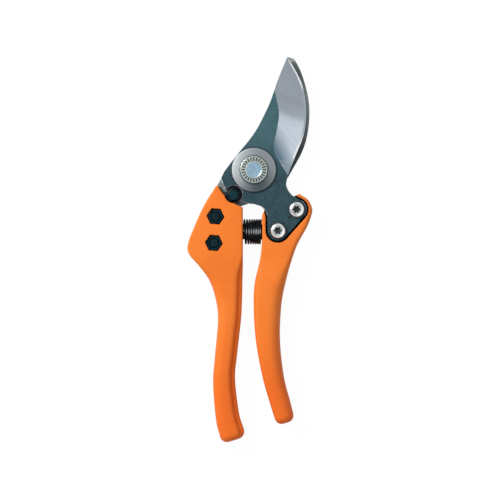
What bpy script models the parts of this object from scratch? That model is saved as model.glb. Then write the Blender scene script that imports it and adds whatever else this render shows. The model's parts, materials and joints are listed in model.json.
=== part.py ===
"""Bypass pruner, lying on its back, closed and locked.

Two moulded handles, a ground cutting blade and a hooked counter-blade turn on one pivot bolt.
Metres, +Z up towards the blade side, +Y along the blade. The origin is on the pivot axis, on the
surface that the pruner lies on.
"""
import math

import bmesh
import bpy
from mathutils import Matrix, Vector

# Clearances
GAP = 0.0003             # between pieces that touch on the real tool
TANG_GAP = 0.0010        # open gap round the blade's tang in its pocket
POCKET_GAP = 0.0005      # round the counter-blade's tang, the nuts and the lock
HEAD_GAP = 0.0028        # from the blade's hub to the left handle

# Pivot, from the back to the front
PIVOT_NUT_FLATS = 0.0150
PIVOT_NUT_HEIGHT = 0.0040
REAR_WASHER_RADIUS = 0.0095
REAR_WASHER_THICK = 0.0008
PIVOT_SHANK_RADIUS = 0.0047
PIVOT_THREAD_RADIUS = 0.0040
FRONT_WASHER_RADIUS = 0.0124
FRONT_WASHER_THICK = 0.0010
BOLT_HEAD_RADIUS = 0.0080
BOLT_HEAD_HEIGHT = 0.0026
BOLT_FACE_RADIUS = 0.0041    # sunk flat in the middle of the head
BOLT_FACE_DEPTH = 0.0005

# Blade plates
COUNTER_THICK = 0.0045
BLADE_THICK = 0.0033
EDGE_LAND = 0.0003           # what is left of the thickness at the cutting edge
RIM_CHAMFER = 0.0004         # broken top edge of the spine, the hub and the tang
HUB_RADIUS = 0.0192
TANG_LOBE_RADIUS = 0.0059    # round end of the tang about each of its screws
HOOK_CHAMFER = 0.0012        # ground inner edge of the hook

# Fasteners of the tangs
SCREW_RADIUS = 0.0024
SCREW_HEAD_RADIUS = 0.0042
SCREW_HEAD_HEIGHT = 0.0026
SCREW_RIM_HEIGHT = 0.0013    # straight side of a pan head
SCREW_FLAT_RADIUS = 0.0022   # flat on top of it
WASHER_RADIUS = 0.0048
WASHER_THICK = 0.0008
NUT_FLATS = 0.0078
NUT_HEIGHT = 0.0040
NUT_TILT = -5.0              # degrees
LEFT_WEB = 0.0020            # handle wall between the tang and the nuts
RIGHT_WEB = 0.0044
STUD = 0.0004                # end of a screw past its nut
RIGHT_SCREWS = {"upper": (0.0240, -0.0223), "lower": (0.0135, -0.0342)}
LEFT_SCREW_FROM_PIN = (-0.0033, -0.0081)    # upper screw of the left handle, from the lock's pin
LEFT_SCREW_PITCH = (-0.0009, -0.0149)       # lower one, from the upper

# Handles: depth of the moulding along its length, and its rounded edges
DEPTH_END = 0.0155
DEPTH_PALM = 0.0170
NUT_RECESS = 0.0011          # left handle's front above its nuts
RIM_HEIGHT = 0.0015          # right handle's rim above the blade's tang
PALM_START = -0.1000         # depth settles from the end to here
PALM_END = -0.0680           # and changes from here to the head
HEAD_START = -0.0460
END_ROUND = 0.0040
HEAD_ROUND = 0.0008
ROUND_SHARE = 0.49           # most of a section's width or depth that one round takes
LEFT_EDGE_INNER = 0.0028
LEFT_EDGE_OUTER = 0.0045
RIGHT_EDGE_INNER = 0.0026
RIGHT_EDGE_OUTER = 0.0062
HEAD_EDGE = 0.0012           # rounds at the head, where the handles are flatter

# Lock catch: a thumb piece on a pin in the counter-blade, with its nose in a notch of the hub
LOCK_NOSE_RADIUS = 0.0042
LOCK_NOSE_ANGLE = 230.5      # degrees about the pivot
LOCK_NOSE_INSET = 0.0016     # nose centre inside the hub's rim
LOCK_PIN_ANGLE = 225.0
LOCK_PIN_OFFSET = 0.0065     # pin outside the hub's rim
LOCK_PIN_RADIUS = 0.0020
LOCK_PIN_HEAD_RADIUS = 0.0033
LOCK_PIN_HEAD_HEIGHT = 0.0009
LOCK_EYE_RADIUS = 0.0036
LOCK_NECK = 0.0066           # width between the eye and the nose
LOCK_LEAD_IN = 0.0025        # chamfer at the mouth of the notch
LOCK_PROUD = 0.0019          # thumb piece above the blade's face
LOCK_CROWN = 0.0008          # round of the thumb piece's top
LOCK_TURN = -2.2             # turn of the catch for each turn of the blade
OPEN_ANGLE = 32.0            # degrees that the blade opens

# Spring between the handles, on a moulded spigot at each end
SPRING_RADIUS = 0.00735      # outside
SPRING_WIRE = 0.0010
SPRING_COIL_GAP = 0.00042
SPRING_Y = -0.0348
SPRING_LIFT = 0.0004         # from the surface that the tool lies on
SPRING_SEAT_DEPTH = 0.0003
SPIGOT_RADIUS = 0.0046
SPIGOT_LENGTH = 0.0018
SPIGOT_TAPER = 0.0006

# Facets
ROUND_STEPS = 40
CURVE_STEPS = 4
EDGE_STEPS = 4               # round of a handle's edge
END_STEPS = 4                # round of a handle's end
HEAD_STEPS = 2               # and of its head
CROWN_STEPS = 3              # round of a screw's head
LOW_STEPS = 16               # ground face below the blade's tip
TIP_STEPS = 8
CURL_POINTS = 9

# Heights of the stack along the pivot
REAR_WASHER_Z = PIVOT_NUT_HEIGHT + GAP
COUNTER_Z = REAR_WASHER_Z + REAR_WASHER_THICK + GAP
COUNTER_TOP = COUNTER_Z + COUNTER_THICK
BLADE_Z = COUNTER_TOP + GAP
BLADE_TOP = BLADE_Z + BLADE_THICK
FRONT_WASHER_Z = BLADE_TOP + GAP
BOLT_HEAD_Z = FRONT_WASHER_Z + FRONT_WASHER_THICK + GAP
LOCK_TOP = BLADE_TOP + LOCK_PROUD
DEPTH_HEAD_RIGHT = BLADE_TOP + RIM_HEIGHT
LEFT_NUT_FLOOR = COUNTER_TOP + GAP + LEFT_WEB
DEPTH_HEAD_LEFT = LEFT_NUT_FLOOR + GAP + NUT_HEIGHT + NUT_RECESS
RIGHT_NUT_CEILING = BLADE_Z - GAP - RIGHT_WEB
SPRING_Z = SPRING_RADIUS + SPRING_LIFT
ABOVE = 2 * DEPTH_HEAD_LEFT  # height that every cut through the tool reaches

# Section lines of the handles from the end to the head: a point on the inner edge, one on the outer
LEFT_INNER_X = -0.0062
RIGHT_INNER_X = 0.0045
LEFT_END = -0.1464           # inner corner of each handle's end, below the pivot
RIGHT_END = -0.1402
LEFT_SECTIONS = [
    ((-0.0056, LEFT_END), (-0.0190, LEFT_END - 0.0043)),
    ((-0.0084, LEFT_END + 0.0094), (-0.0216, LEFT_END + 0.0059)),
    ((-0.0106, -0.1180), (-0.0232, -0.1200)),
    ((-0.0094, -0.1040), (-0.0222, -0.1045)),
    ((-0.0072, -0.0840), (-0.0204, -0.0840)),
    ((-0.0066, -0.0720), (-0.0218, -0.0720)),
    ((-0.0064, -0.0620), (-0.0256, -0.0620)),
    ((LEFT_INNER_X, -0.0540), (-0.0314, -0.0540)),
    ((LEFT_INNER_X, -0.0475), (-0.0367, -0.0475)),
    ((LEFT_INNER_X, -0.0420), (-0.0376, -0.0420)),
    ((LEFT_INNER_X, -0.0330), (-0.0344, -0.0330)),
    ((LEFT_INNER_X, -0.0200), (-0.0289, -0.0200)),
    ((LEFT_INNER_X, -0.0098), (-0.0217, -0.0098)),
]
RIGHT_SECTIONS = [
    ((0.0118, RIGHT_END), (0.0223, RIGHT_END + 0.0028)),
    ((0.0092, RIGHT_END + 0.0082), (0.0206, RIGHT_END + 0.0097)),
    ((0.0048, RIGHT_END + 0.0239), (0.0170, RIGHT_END + 0.0239)),
    ((0.0011, -0.0959), (0.0148, -0.0959)),
    ((-0.0001, -0.0770), (0.0155, -0.0770)),
    ((0.0005, -0.0640), (0.0178, -0.0640)),
    ((0.0034, -0.0510), (0.0213, -0.0510)),
    ((RIGHT_INNER_X, -0.0420), (0.0248, -0.0415)),
    ((RIGHT_INNER_X, -0.0345), (0.0301, -0.0319)),
    ((RIGHT_INNER_X, -0.0295), (0.0328, -0.0244)),
    ((0.0046, -0.0265), (0.0326, -0.0206)),
    ((0.0050, -0.0246), (0.0303, -0.0166)),
    ((0.0059, -0.0231), (0.0264, -0.0140)),
]

# Blade: spine from the tip to the hub, cutting edge and grind line from the heel
BLADE_SPINE = [(0.0188, 0.0637), (0.0132, 0.0498), (0.0084, 0.0363), (0.0010, 0.0227),
               (-0.0096, 0.0092), (-0.0168, -0.0010)]
BLADE_EDGE = [(0.0192, -0.0031), (0.0240, 0.0092), (0.0285, 0.0209), (0.0296, 0.0340),
              (0.0276, 0.0472), (0.0227, 0.0575), (0.0188, 0.0637)]
GRIND_LINE = [(0.0192, -0.0031), (0.0128, 0.0073), (0.0111, 0.0131), (0.0128, 0.0217),
              (0.0142, 0.0320), (0.0116, 0.0450)]
HUB_START = 193.4            # degrees, where the spine runs into the hub's round
HUB_END = 271.0              # where the hub runs into the arch over the spring
TANG_LOBE_END = 62.0         # where the tang's upper round runs into the neck
TANG_ARCH = [(0.0038, -0.0203), (0.0066, -0.0231), (0.0076, -0.0262)]
TANG_NECK = [(0.0223, -0.0149), (0.0195, -0.0113), (0.0182, -0.0076)]

# Counter-blade: outside of the hook from its tip down, its inside back up, and the shoulders
HOOK_OUTSIDE = [(0.0191, 0.0638), (0.0214, 0.0632), (0.0234, 0.0617), (0.0274, 0.0532), (0.0309, 0.0397),
                (0.0311, 0.0261), (0.0282, 0.0125), (0.0211, -0.0010), (0.0184, -0.0055)]
HOOK_INSIDE = [(0.0020, 0.0168), (0.0098, 0.0196), (0.0166, 0.0256), (0.0204, 0.0340),
               (0.0212, 0.0440), (0.0200, 0.0550), (0.0191, 0.0638)]
COUNTER_BACK = [(-0.0205, -0.0086), (-0.0149, 0.0013), (-0.0096, 0.0083), (-0.0030, 0.0156)]
COUNTER_SHOULDER = [(-0.0040, -0.0193), (-0.0062, -0.0200), (-0.0090, -0.0212)]
COUNTER_FLANK = [(-0.0284, -0.0370), (-0.0268, -0.0250), (-0.0230, -0.0165), (-0.0200, -0.0110)]
COUNTER_LOBE_RADIUS = 0.0060
COUNTER_HUB_START = -20.0    # degrees, where the hook's outside runs into the hub
COUNTER_HUB_END = -98.0      # where the hub runs into the shoulder


def remove_all():
    for thing in list(bpy.data.objects):
        bpy.data.objects.remove(thing, do_unlink=True)


def material(name, colour, roughness, metallic=0.0):
    made = bpy.data.materials.new(name)
    made.use_nodes = True
    shader = made.node_tree.nodes["Principled BSDF"]
    shader.inputs["Base Color"].default_value = (*colour, 1.0)
    shader.inputs["Roughness"].default_value = roughness
    shader.inputs["Metallic"].default_value = metallic
    return made


def add_object(name, bm, finish=None, parent=None, smooth_angle=40.0):
    """Make a named object of a bmesh, faces outwards, round faces shaded smooth."""
    bmesh.ops.recalc_face_normals(bm, faces=bm.faces)
    mesh = bpy.data.meshes.new(name)
    bm.to_mesh(mesh)
    bm.free()
    made = bpy.data.objects.new(name, mesh)
    bpy.context.collection.objects.link(made)
    if finish:
        mesh.materials.append(finish)
        mesh.shade_smooth()
        mesh.set_sharp_from_angle(angle=math.radians(smooth_angle))
    made.parent = parent
    return made


def combine(target, tool, operation):
    """Cut a tool out of a target, or join it on, with the tool kept as a hidden guide."""
    tool.hide_render = True
    tool.display_type = 'WIRE'
    step = target.modifiers.new(f"{operation.lower()} {tool.name}", 'BOOLEAN')
    step.operation = operation
    step.object = tool
    step.solver = 'EXACT'


def polar(radius, degrees, centre=(0.0, 0.0)):
    turn = math.radians(degrees)
    return (centre[0] + radius * math.cos(turn), centre[1] + radius * math.sin(turn))


def arc(centre, radius, start, end, steps=10):
    return [polar(radius, start + (end - start) * i / steps, centre) for i in range(steps + 1)]


def curve(points, steps=CURVE_STEPS):
    """Points of a smooth curve through a few given points."""
    ends = [Vector(p) for p in points]
    ends = [2 * ends[0] - ends[1]] + ends + [2 * ends[-1] - ends[-2]]
    made = []
    for a, b, c, d in zip(ends, ends[1:], ends[2:], ends[3:]):
        for i in range(steps):
            t = i / steps
            made.append(0.5 * (2 * b + (c - a) * t + (2 * a - 5 * b + 4 * c - d) * t ** 2
                               + (3 * b - a - 3 * c + d) * t ** 3))
    made.append(ends[-2])
    return [tuple(p) for p in made]


def spread(points, count):
    """The same line, with its points evenly spread along it."""
    line = [Vector(p) for p in points]
    lengths = [0.0]
    for a, b in zip(line, line[1:]):
        lengths.append(lengths[-1] + (b - a).length)
    made = []
    k = 0
    for i in range(count + 1):
        along = lengths[-1] * i / count
        while k < len(line) - 2 and lengths[k + 1] < along:
            k += 1
        share = (along - lengths[k]) / (lengths[k + 1] - lengths[k])
        made.append(tuple(line[k].lerp(line[k + 1], min(share, 1.0))))
    return made


def grown(outline, distance):
    """A closed outline, anticlockwise, moved outwards by a distance."""
    made = []
    count = len(outline)
    for i, point in enumerate(outline):
        before = (Vector(point) - Vector(outline[i - 1])).normalized()
        after = (Vector(outline[(i + 1) % count]) - Vector(point)).normalized()
        along = (before + after).normalized()
        made.append((point[0] + along.y * distance, point[1] - along.x * distance))
    return made


def touch_angle(start, end, start_radius, end_radius):
    """Angle at which a straight line touches two circles on its right-hand side."""
    way = Vector(end) - Vector(start)
    lean = math.degrees(math.asin((start_radius - end_radius) / way.length))
    return math.degrees(math.atan2(way.y, way.x)) - 90.0 + lean


def prism(outline, low, high):
    """A bmesh of an outline pulled up from one height to another."""
    bm = bmesh.new()
    base = bm.faces.new([bm.verts.new((x, y, low)) for x, y in outline])
    risen = bmesh.ops.extrude_face_region(bm, geom=[base])
    moved = [v for v in risen["geom"] if isinstance(v, bmesh.types.BMVert)]
    bmesh.ops.translate(bm, verts=moved, vec=(0.0, 0.0, high - low))
    return bm


def hexagon(flats, centre, tilt=0.0):
    radius = flats / math.sqrt(3.0)
    return [polar(radius, tilt + 60.0 * i, centre) for i in range(6)]


def circle(radius, centre=(0.0, 0.0), steps=ROUND_STEPS):
    return [polar(radius, 360.0 * i / steps, centre) for i in range(steps)]


def turned(profile, centre=(0.0, 0.0), closed=False, steps=ROUND_STEPS):
    """A bmesh of a profile of radius and height pairs, turned about an upright axis."""
    bm = bmesh.new()
    ring = [bm.verts.new((centre[0] + r, centre[1], z)) for r, z in profile]
    edges = [bm.edges.new(pair) for pair in zip(ring, ring[1:])]
    if closed:
        edges.append(bm.edges.new((ring[-1], ring[0])))
    bmesh.ops.spin(bm, geom=ring + edges, cent=(*centre, 0.0), axis=(0.0, 0.0, 1.0),
                   angle=2 * math.pi, steps=steps, use_merge=True)
    bmesh.ops.remove_doubles(bm, verts=bm.verts, dist=1e-7)
    return bm


def cutter(name, bm, target):
    combine(target, add_object(name, bm), 'DIFFERENCE')


def ring(name, centre, inner, outer, low, thick, finish, parent):
    """A washer with a broken outer edge."""
    ease = thick / 4
    high = low + thick
    profile = [(inner, low), (outer - ease, low), (outer, low + ease), (outer, high - ease),
               (outer - ease, high), (inner, high)]
    return add_object(name, turned(profile, centre, closed=True), finish, parent)


def lying(bm, place, sideways):
    """Lay a turned bmesh down, with its axis along X to the right or left, at a place."""
    turn = Matrix.Rotation(math.radians(90.0 * sideways), 3, 'Y')
    bmesh.ops.rotate(bm, verts=bm.verts, cent=(0.0, 0.0, 0.0), matrix=turn)
    bmesh.ops.translate(bm, verts=bm.verts, vec=place)
    return bm


def bore(name, spot, radius, target, steps=ROUND_STEPS):
    cutter(name, prism(circle(radius, spot, steps), -GAP, ABOVE), target)


def lock_nose_place():
    return polar(HUB_RADIUS - LOCK_NOSE_INSET, LOCK_NOSE_ANGLE)


def lock_pin_place():
    return polar(HUB_RADIUS + LOCK_PIN_OFFSET, LOCK_PIN_ANGLE)


def left_screws():
    """Places of the left handle's screws, past the lock's pin."""
    upper = Vector(lock_pin_place()) + Vector(LEFT_SCREW_FROM_PIN)
    lower = upper + Vector(LEFT_SCREW_PITCH)
    return {"upper": tuple(upper), "lower": tuple(lower)}


def lock_outline(extra=0.0, turn=0.0):
    """Outline of the catch about its pin, or of the room that it sweeps in a turn."""
    arm = Vector(lock_nose_place()) - Vector(lock_pin_place())
    rest = math.degrees(math.atan2(arm.y, arm.x))
    out = rest + turn
    nose_radius = LOCK_NOSE_RADIUS + extra
    eye_radius = LOCK_EYE_RADIUS + extra
    half = LOCK_NECK / 2 + extra
    at_nose = 180.0 - math.degrees(math.asin(half / nose_radius))
    at_eye = math.degrees(math.asin(half / eye_radius))
    sweep = arc((0.0, 0.0), arm.length + nose_radius, out, rest, 8) if turn else []
    return (arc(polar(arm.length, out), nose_radius, out - at_nose, out, 8) + sweep[1:-1]
            + arc(polar(arm.length, rest), nose_radius, rest, rest + at_nose, 8)[not turn:]
            + arc((0.0, 0.0), eye_radius, rest + at_eye, out + 360.0 - at_eye, 8))


def notch_outline():
    """Notch of the hub: round for the nose, with a lead-in on the side that the nose leaves by."""
    centre = lock_nose_place()
    radius = LOCK_NOSE_RADIUS + POCKET_GAP
    side = polar(radius + LOCK_LEAD_IN, LOCK_NOSE_ANGLE - 90.0, centre)
    return (arc(centre, radius, LOCK_NOSE_ANGLE + 90.0, LOCK_NOSE_ANGLE + 270.0, 14)
            + [polar(LOCK_LEAD_IN, LOCK_NOSE_ANGLE, side)]
            + [polar(LOCK_LEAD_IN, LOCK_NOSE_ANGLE,
                     polar(radius, LOCK_NOSE_ANGLE + 90.0, centre))])


def blade_tang():
    """Outline of the blade's tang, from the arch over the spring round to the neck."""
    upper = RIGHT_SCREWS["upper"]
    lower = RIGHT_SCREWS["lower"]
    side = touch_angle(lower, upper, TANG_LOBE_RADIUS, TANG_LOBE_RADIUS)
    return (curve(TANG_ARCH) + arc(lower, TANG_LOBE_RADIUS, -180.0, side)
            + arc(upper, TANG_LOBE_RADIUS, side, TANG_LOBE_END) + curve(TANG_NECK))


def make_blade(finish, parent):
    """Blade, hub and tang in one plate, with a ground face that takes the whole width at the tip."""
    land = BLADE_Z + EDGE_LAND
    grind_foot = GRIND_LINE[-1]
    spine = curve(BLADE_SPINE)
    tip_spine = [p for p in spine if p[1] > grind_foot[1]]
    low_spine = [p for p in spine if p[1] < grind_foot[1]]
    hub = arc((0.0, 0.0), HUB_RADIUS, HUB_START, HUB_END, 16)
    edge = curve(BLADE_EDGE)
    split = min(range(len(edge)), key=lambda i: abs(edge[i][1] - grind_foot[1]))
    edge = spread(edge[:split + 1], LOW_STEPS)[:-1] + spread(edge[split:], TIP_STEPS)
    tip_grind = spread([grind_foot] + tip_spine[::-1], TIP_STEPS)
    grind = spread(curve(GRIND_LINE), LOW_STEPS)[:-1] + tip_grind
    body = low_spine + hub + blade_tang()

    bm = bmesh.new()
    ground = []
    for i, (x, y) in enumerate(grind[:-1]):
        share = max(0, i - LOW_STEPS) / TIP_STEPS
        ground.append(bm.verts.new((x, y, BLADE_TOP + (land - BLADE_TOP) * share)))
    sharp = [bm.verts.new((x, y, land)) for x, y in edge]
    ground.append(sharp[-1])
    edge_low = [bm.verts.new((x, y, BLADE_Z)) for x, y in edge]
    tip_low = [bm.verts.new((x, y, BLADE_Z)) for x, y in tip_grind[:-1]]
    body_top = [bm.verts.new((x, y, BLADE_TOP)) for x, y in body]
    body_low = [bm.verts.new((x, y, BLADE_Z)) for x, y in body]
    for i in range(len(sharp) - 1):
        bm.faces.new(dict.fromkeys((ground[i], sharp[i], sharp[i + 1], ground[i + 1])))
        bm.faces.new((sharp[i], edge_low[i], edge_low[i + 1], sharp[i + 1]))
    back_top = ground[:LOW_STEPS - 1:-1] + body_top
    back_low = edge_low[-1:] + tip_low[::-1] + body_low
    for corners in zip(back_top, back_top[1:], back_low[1:], back_low):
        bm.faces.new(corners)
    bm.faces.new((body_top[-1], ground[0], sharp[0], edge_low[0], body_low[-1]))
    bm.faces.new(body_top + ground[:LOW_STEPS + 1])
    bm.faces.new(back_low + edge_low[:-1])

    rim = [bm.edges.get(pair) for pair in zip(body_top, body_top[1:])]
    bmesh.ops.bevel(bm, geom=rim, offset=RIM_CHAMFER, segments=1, affect='EDGES')

    blade = add_object("cutting_blade", bm, finish, parent, 20.0)
    bore("blade pivot bore", (0.0, 0.0), PIVOT_SHANK_RADIUS + GAP, blade)
    for place, spot in RIGHT_SCREWS.items():
        bore(f"blade screw hole {place}", spot, SCREW_RADIUS + GAP, blade, 20)
    cutter("blade notch", prism(notch_outline(), COUNTER_TOP, ABOVE), blade)


def counter_tang():
    """Clockwise outline of the counter-blade's tang, from its shoulder round and up the far side."""
    lower = left_screws()["lower"]
    side = touch_angle(lower, COUNTER_SHOULDER[-1], COUNTER_LOBE_RADIUS, 0.0)
    return COUNTER_SHOULDER + arc(lower, COUNTER_LOBE_RADIUS, side, -180.0) + curve(COUNTER_FLANK)


def make_counter_blade(finish):
    """Hook, hub and tang in one thicker plate behind the blade, the hook ground along its inside."""
    inside = curve(HOOK_INSIDE)
    clockwise = (HOOK_OUTSIDE[:1] + curve(HOOK_OUTSIDE[1:])
                 + arc((0.0, 0.0), HUB_RADIUS - GAP, COUNTER_HUB_START, COUNTER_HUB_END, 12)
                 + counter_tang() + curve(COUNTER_BACK) + inside[:-1])
    bm = prism(clockwise[::-1], COUNTER_Z, COUNTER_TOP)
    ground = {(round(x, 6), round(y, 6)) for x, y in inside[1:]}
    chamfered = []
    for side in bm.edges:
        ends = [(round(v.co.x, 6), round(v.co.y, 6), v.co.z < BLADE_Z - COUNTER_THICK) for v in side.verts]
        if all(end[2] and end[:2] in ground for end in ends):
            chamfered.append(side)
    bmesh.ops.bevel(bm, geom=chamfered, offset=HOOK_CHAMFER, segments=1, affect='EDGES')
    plate = add_object("counter_blade", bm, finish, None, 20.0)
    bore("counter pivot bore", (0.0, 0.0), PIVOT_SHANK_RADIUS + GAP, plate)
    bore("counter lock pin hole", lock_pin_place(), LOCK_PIN_RADIUS + GAP, plate, 20)
    for place, spot in left_screws().items():
        bore(f"counter screw hole {place}", spot, SCREW_RADIUS + GAP, plate, 20)


def ease(value, start, end):
    """Smooth step from 0 to 1 as a value goes from start to end."""
    t = min(max((value - start) / (end - start), 0.0), 1.0)
    return t * t * (3.0 - 2.0 * t)


def handle_section(inner, outer, depth, edges, inset, shift):
    """Points round one section of a handle: a rectangle with its own round for each side."""
    across = (Vector(outer) - Vector(inner))
    width = across.length
    along = across / width
    ahead = Vector((-along.y, along.x)) * shift
    limit = ROUND_SHARE * min(width - 2 * inset, depth - 2 * inset)
    near, far = (min(max(edge - inset, GAP), limit) for edge in edges)
    corners = [(inset + near, inset + near, near, 180.0), (width - inset - far, inset + far, far, 270.0),
               (width - inset - far, depth - inset - far, far, 0.0),
               (inset + near, depth - inset - near, near, 90.0)]
    made = []
    for side, height, radius, start in corners:
        for s, z in arc((side, height), radius, start, start + 90.0, EDGE_STEPS):
            spot = Vector(inner) + along * s + ahead
            made.append((spot.x, spot.y, z))
    return made


def rounding(line, radius, way, steps):
    """Section lines that draw in and run on past one line, as the round over a handle's end does."""
    made = []
    for k in range(1, steps + 1):
        lean = math.radians(90.0 * k / steps)
        made.append((line, radius * (1 - math.cos(lean)), way * radius * math.sin(lean)))
    return made


def make_handle(name, sections, head_depth, edges, finish, parent):
    """Loft a handle through its section lines, with a round end and an eased head."""
    lines = curve([(*inner, *outer) for inner, outer in sections])
    turn = 1.0 if sections[-1][1][0] > 0.0 else -1.0
    rings = rounding(lines[0], END_ROUND, -turn, END_STEPS)[::-1]
    rings += [(line, 0.0, 0.0) for line in lines]
    rings += rounding(lines[-1], HEAD_ROUND, turn, HEAD_STEPS)
    bm = bmesh.new()
    loops = []
    for line, inset, shift in rings:
        middle = (line[1] + line[3]) / 2
        depth = DEPTH_END + (DEPTH_PALM - DEPTH_END) * ease(middle, sections[0][0][1], PALM_START)
        head = ease(middle, PALM_END, HEAD_START)
        depth += (head_depth - DEPTH_PALM) * head
        rounds = [edge + (HEAD_EDGE - edge) * head for edge in edges]
        loop = handle_section(line[:2], line[2:], depth, rounds, inset, shift)
        loops.append([bm.verts.new(point) for point in loop])
    for low, high in zip(loops, loops[1:]):
        for i in range(len(low)):
            bm.faces.new((low[i - 1], low[i], high[i], high[i - 1]))
    bm.faces.new(loops[0])
    bm.faces.new(loops[-1])
    return add_object(name, bm, finish, parent)


def spring_seat(name, handle, x, facing):
    """Sink a flat seat into a handle's inner side and grow the spring's spigot from it."""
    room = SPRING_RADIUS + POCKET_GAP
    floor = x - facing * SPRING_SEAT_DEPTH
    sunk = turned([(0.0, 0.0), (room, 0.0), (room, SPIGOT_LENGTH), (0.0, SPIGOT_LENGTH)])
    cutter(f"{name} spring seat", lying(sunk, (floor, SPRING_Y, SPRING_Z), facing), handle)
    tip = SPIGOT_RADIUS - SPIGOT_TAPER
    end = SPRING_SEAT_DEPTH + SPIGOT_LENGTH
    peg = turned([(0.0, -GAP), (SPIGOT_RADIUS, -GAP), (tip, end), (0.0, end)])
    spigot = add_object(f"{name} spigot", lying(peg, (floor, SPRING_Y, SPRING_Z), facing))
    combine(handle, spigot, 'UNION')
    return floor


def make_left_handle(finish):
    edges = (LEFT_EDGE_INNER, LEFT_EDGE_OUTER)
    handle = make_handle("left_handle", LEFT_SECTIONS, DEPTH_HEAD_LEFT, edges, finish, None)
    bore("left handle hub room", (0.0, 0.0), HUB_RADIUS + HEAD_GAP, handle, 72)
    tang = (counter_tang() + COUNTER_BACK[:1])[::-1]
    cutter("left tang pocket", prism(grown(tang, POCKET_GAP), -GAP, COUNTER_TOP + GAP), handle)
    pin = lock_pin_place()
    room = [(pin[0] + x, pin[1] + y) for x, y in lock_outline(POCKET_GAP, LOCK_TURN * OPEN_ANGLE)]
    cutter("left lock room", prism(room, COUNTER_TOP, LOCK_TOP + POCKET_GAP), handle)
    for place, spot in left_screws().items():
        bore(f"left screw hole {place}", spot, SCREW_RADIUS + GAP, handle, 20)
        pocket = prism(hexagon(NUT_FLATS + 2 * GAP, spot, NUT_TILT), LEFT_NUT_FLOOR, ABOVE)
        cutter(f"left nut pocket {place}", pocket, handle)
    return spring_seat("left", handle, LEFT_INNER_X, 1)


def make_right_handle(finish, parent):
    edges = (RIGHT_EDGE_INNER, RIGHT_EDGE_OUTER)
    handle = make_handle("right_handle", RIGHT_SECTIONS, DEPTH_HEAD_RIGHT, edges, finish, parent)
    pocket = prism(grown(blade_tang(), TANG_GAP), BLADE_Z - GAP, ABOVE)
    cutter("right tang pocket", pocket, handle)
    for place, spot in RIGHT_SCREWS.items():
        bore(f"right screw hole {place}", spot, SCREW_RADIUS + GAP, handle, 20)
        pocket = prism(hexagon(NUT_FLATS + 2 * GAP, spot, NUT_TILT), -GAP, RIGHT_NUT_CEILING)
        cutter(f"right nut pocket {place}", pocket, handle)
    return spring_seat("right", handle, RIGHT_INNER_X, -1)


def make_nut(name, spot, flats, hole, low, high, finish, parent, tilt=0.0):
    nut = add_object(name, prism(hexagon(flats, spot, tilt), low, high), finish, parent)
    bore(f"{name} thread", spot, hole, nut, 20)


def make_fasteners(side, spots, face, way, nut_low, zinc, black, parent):
    """Screw, washer and nut at each place, with the heads on a face that looks up or down."""
    for place, spot in spots.items():
        seat = face + way * GAP
        low = seat if way > 0 else seat - WASHER_THICK
        ring(f"{side}_washer_{place}", spot, SCREW_RADIUS + GAP, WASHER_RADIUS, low, WASHER_THICK,
             zinc, parent)
        head = seat + way * (WASHER_THICK + GAP)
        shank_end = nut_low if way > 0 else nut_low + NUT_HEIGHT + STUD
        profile = [(0.0, head + way * SCREW_HEAD_HEIGHT)]
        for k in range(CROWN_STEPS, -1, -1):
            lean = math.radians(90.0 * k / CROWN_STEPS)
            reach = SCREW_FLAT_RADIUS + (SCREW_HEAD_RADIUS - SCREW_FLAT_RADIUS) * math.cos(lean)
            rise = SCREW_RIM_HEIGHT + (SCREW_HEAD_HEIGHT - SCREW_RIM_HEIGHT) * math.sin(lean)
            profile.append((reach, head + way * rise))
        profile += [(SCREW_HEAD_RADIUS, head), (SCREW_RADIUS, head), (SCREW_RADIUS, shank_end),
                    (0.0, shank_end)]
        add_object(f"{side}_screw_{place}", turned(profile, spot, steps=24), zinc, parent)
        make_nut(f"{side}_nut_{place}", spot, NUT_FLATS, SCREW_RADIUS + GAP, nut_low,
                 nut_low + NUT_HEIGHT, black, parent, NUT_TILT)


def make_pivot(steel, dark):
    """Shoulder bolt, a washer under its head, a spring washer behind and a thin nut."""
    top = BOLT_HEAD_Z + BOLT_HEAD_HEIGHT
    face = top - BOLT_FACE_DEPTH
    brow = BOLT_HEAD_RADIUS - BOLT_FACE_DEPTH
    profile = [(0.0, face), (BOLT_FACE_RADIUS, face), (BOLT_FACE_RADIUS + BOLT_FACE_DEPTH, top),
               (brow - BOLT_FACE_DEPTH, top), (brow, top - BOLT_FACE_DEPTH / 2),
               (BOLT_HEAD_RADIUS, top - 2 * BOLT_FACE_DEPTH), (BOLT_HEAD_RADIUS, BOLT_HEAD_Z),
               (PIVOT_SHANK_RADIUS, BOLT_HEAD_Z), (PIVOT_SHANK_RADIUS, REAR_WASHER_Z),
               (PIVOT_THREAD_RADIUS, REAR_WASHER_Z), (PIVOT_THREAD_RADIUS, 0.0), (0.0, 0.0)]
    add_object("pivot_bolt", turned(profile), steel)
    hole = PIVOT_SHANK_RADIUS + GAP
    ring("pivot_front_washer", (0.0, 0.0), hole, FRONT_WASHER_RADIUS, FRONT_WASHER_Z,
         FRONT_WASHER_THICK, steel, None)
    ring("pivot_rear_washer", (0.0, 0.0), hole, REAR_WASHER_RADIUS, REAR_WASHER_Z,
         REAR_WASHER_THICK, steel, None)
    make_nut("pivot_nut", (0.0, 0.0), PIVOT_NUT_FLATS, PIVOT_THREAD_RADIUS + GAP, 0.0,
             PIVOT_NUT_HEIGHT, dark, None)


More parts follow.
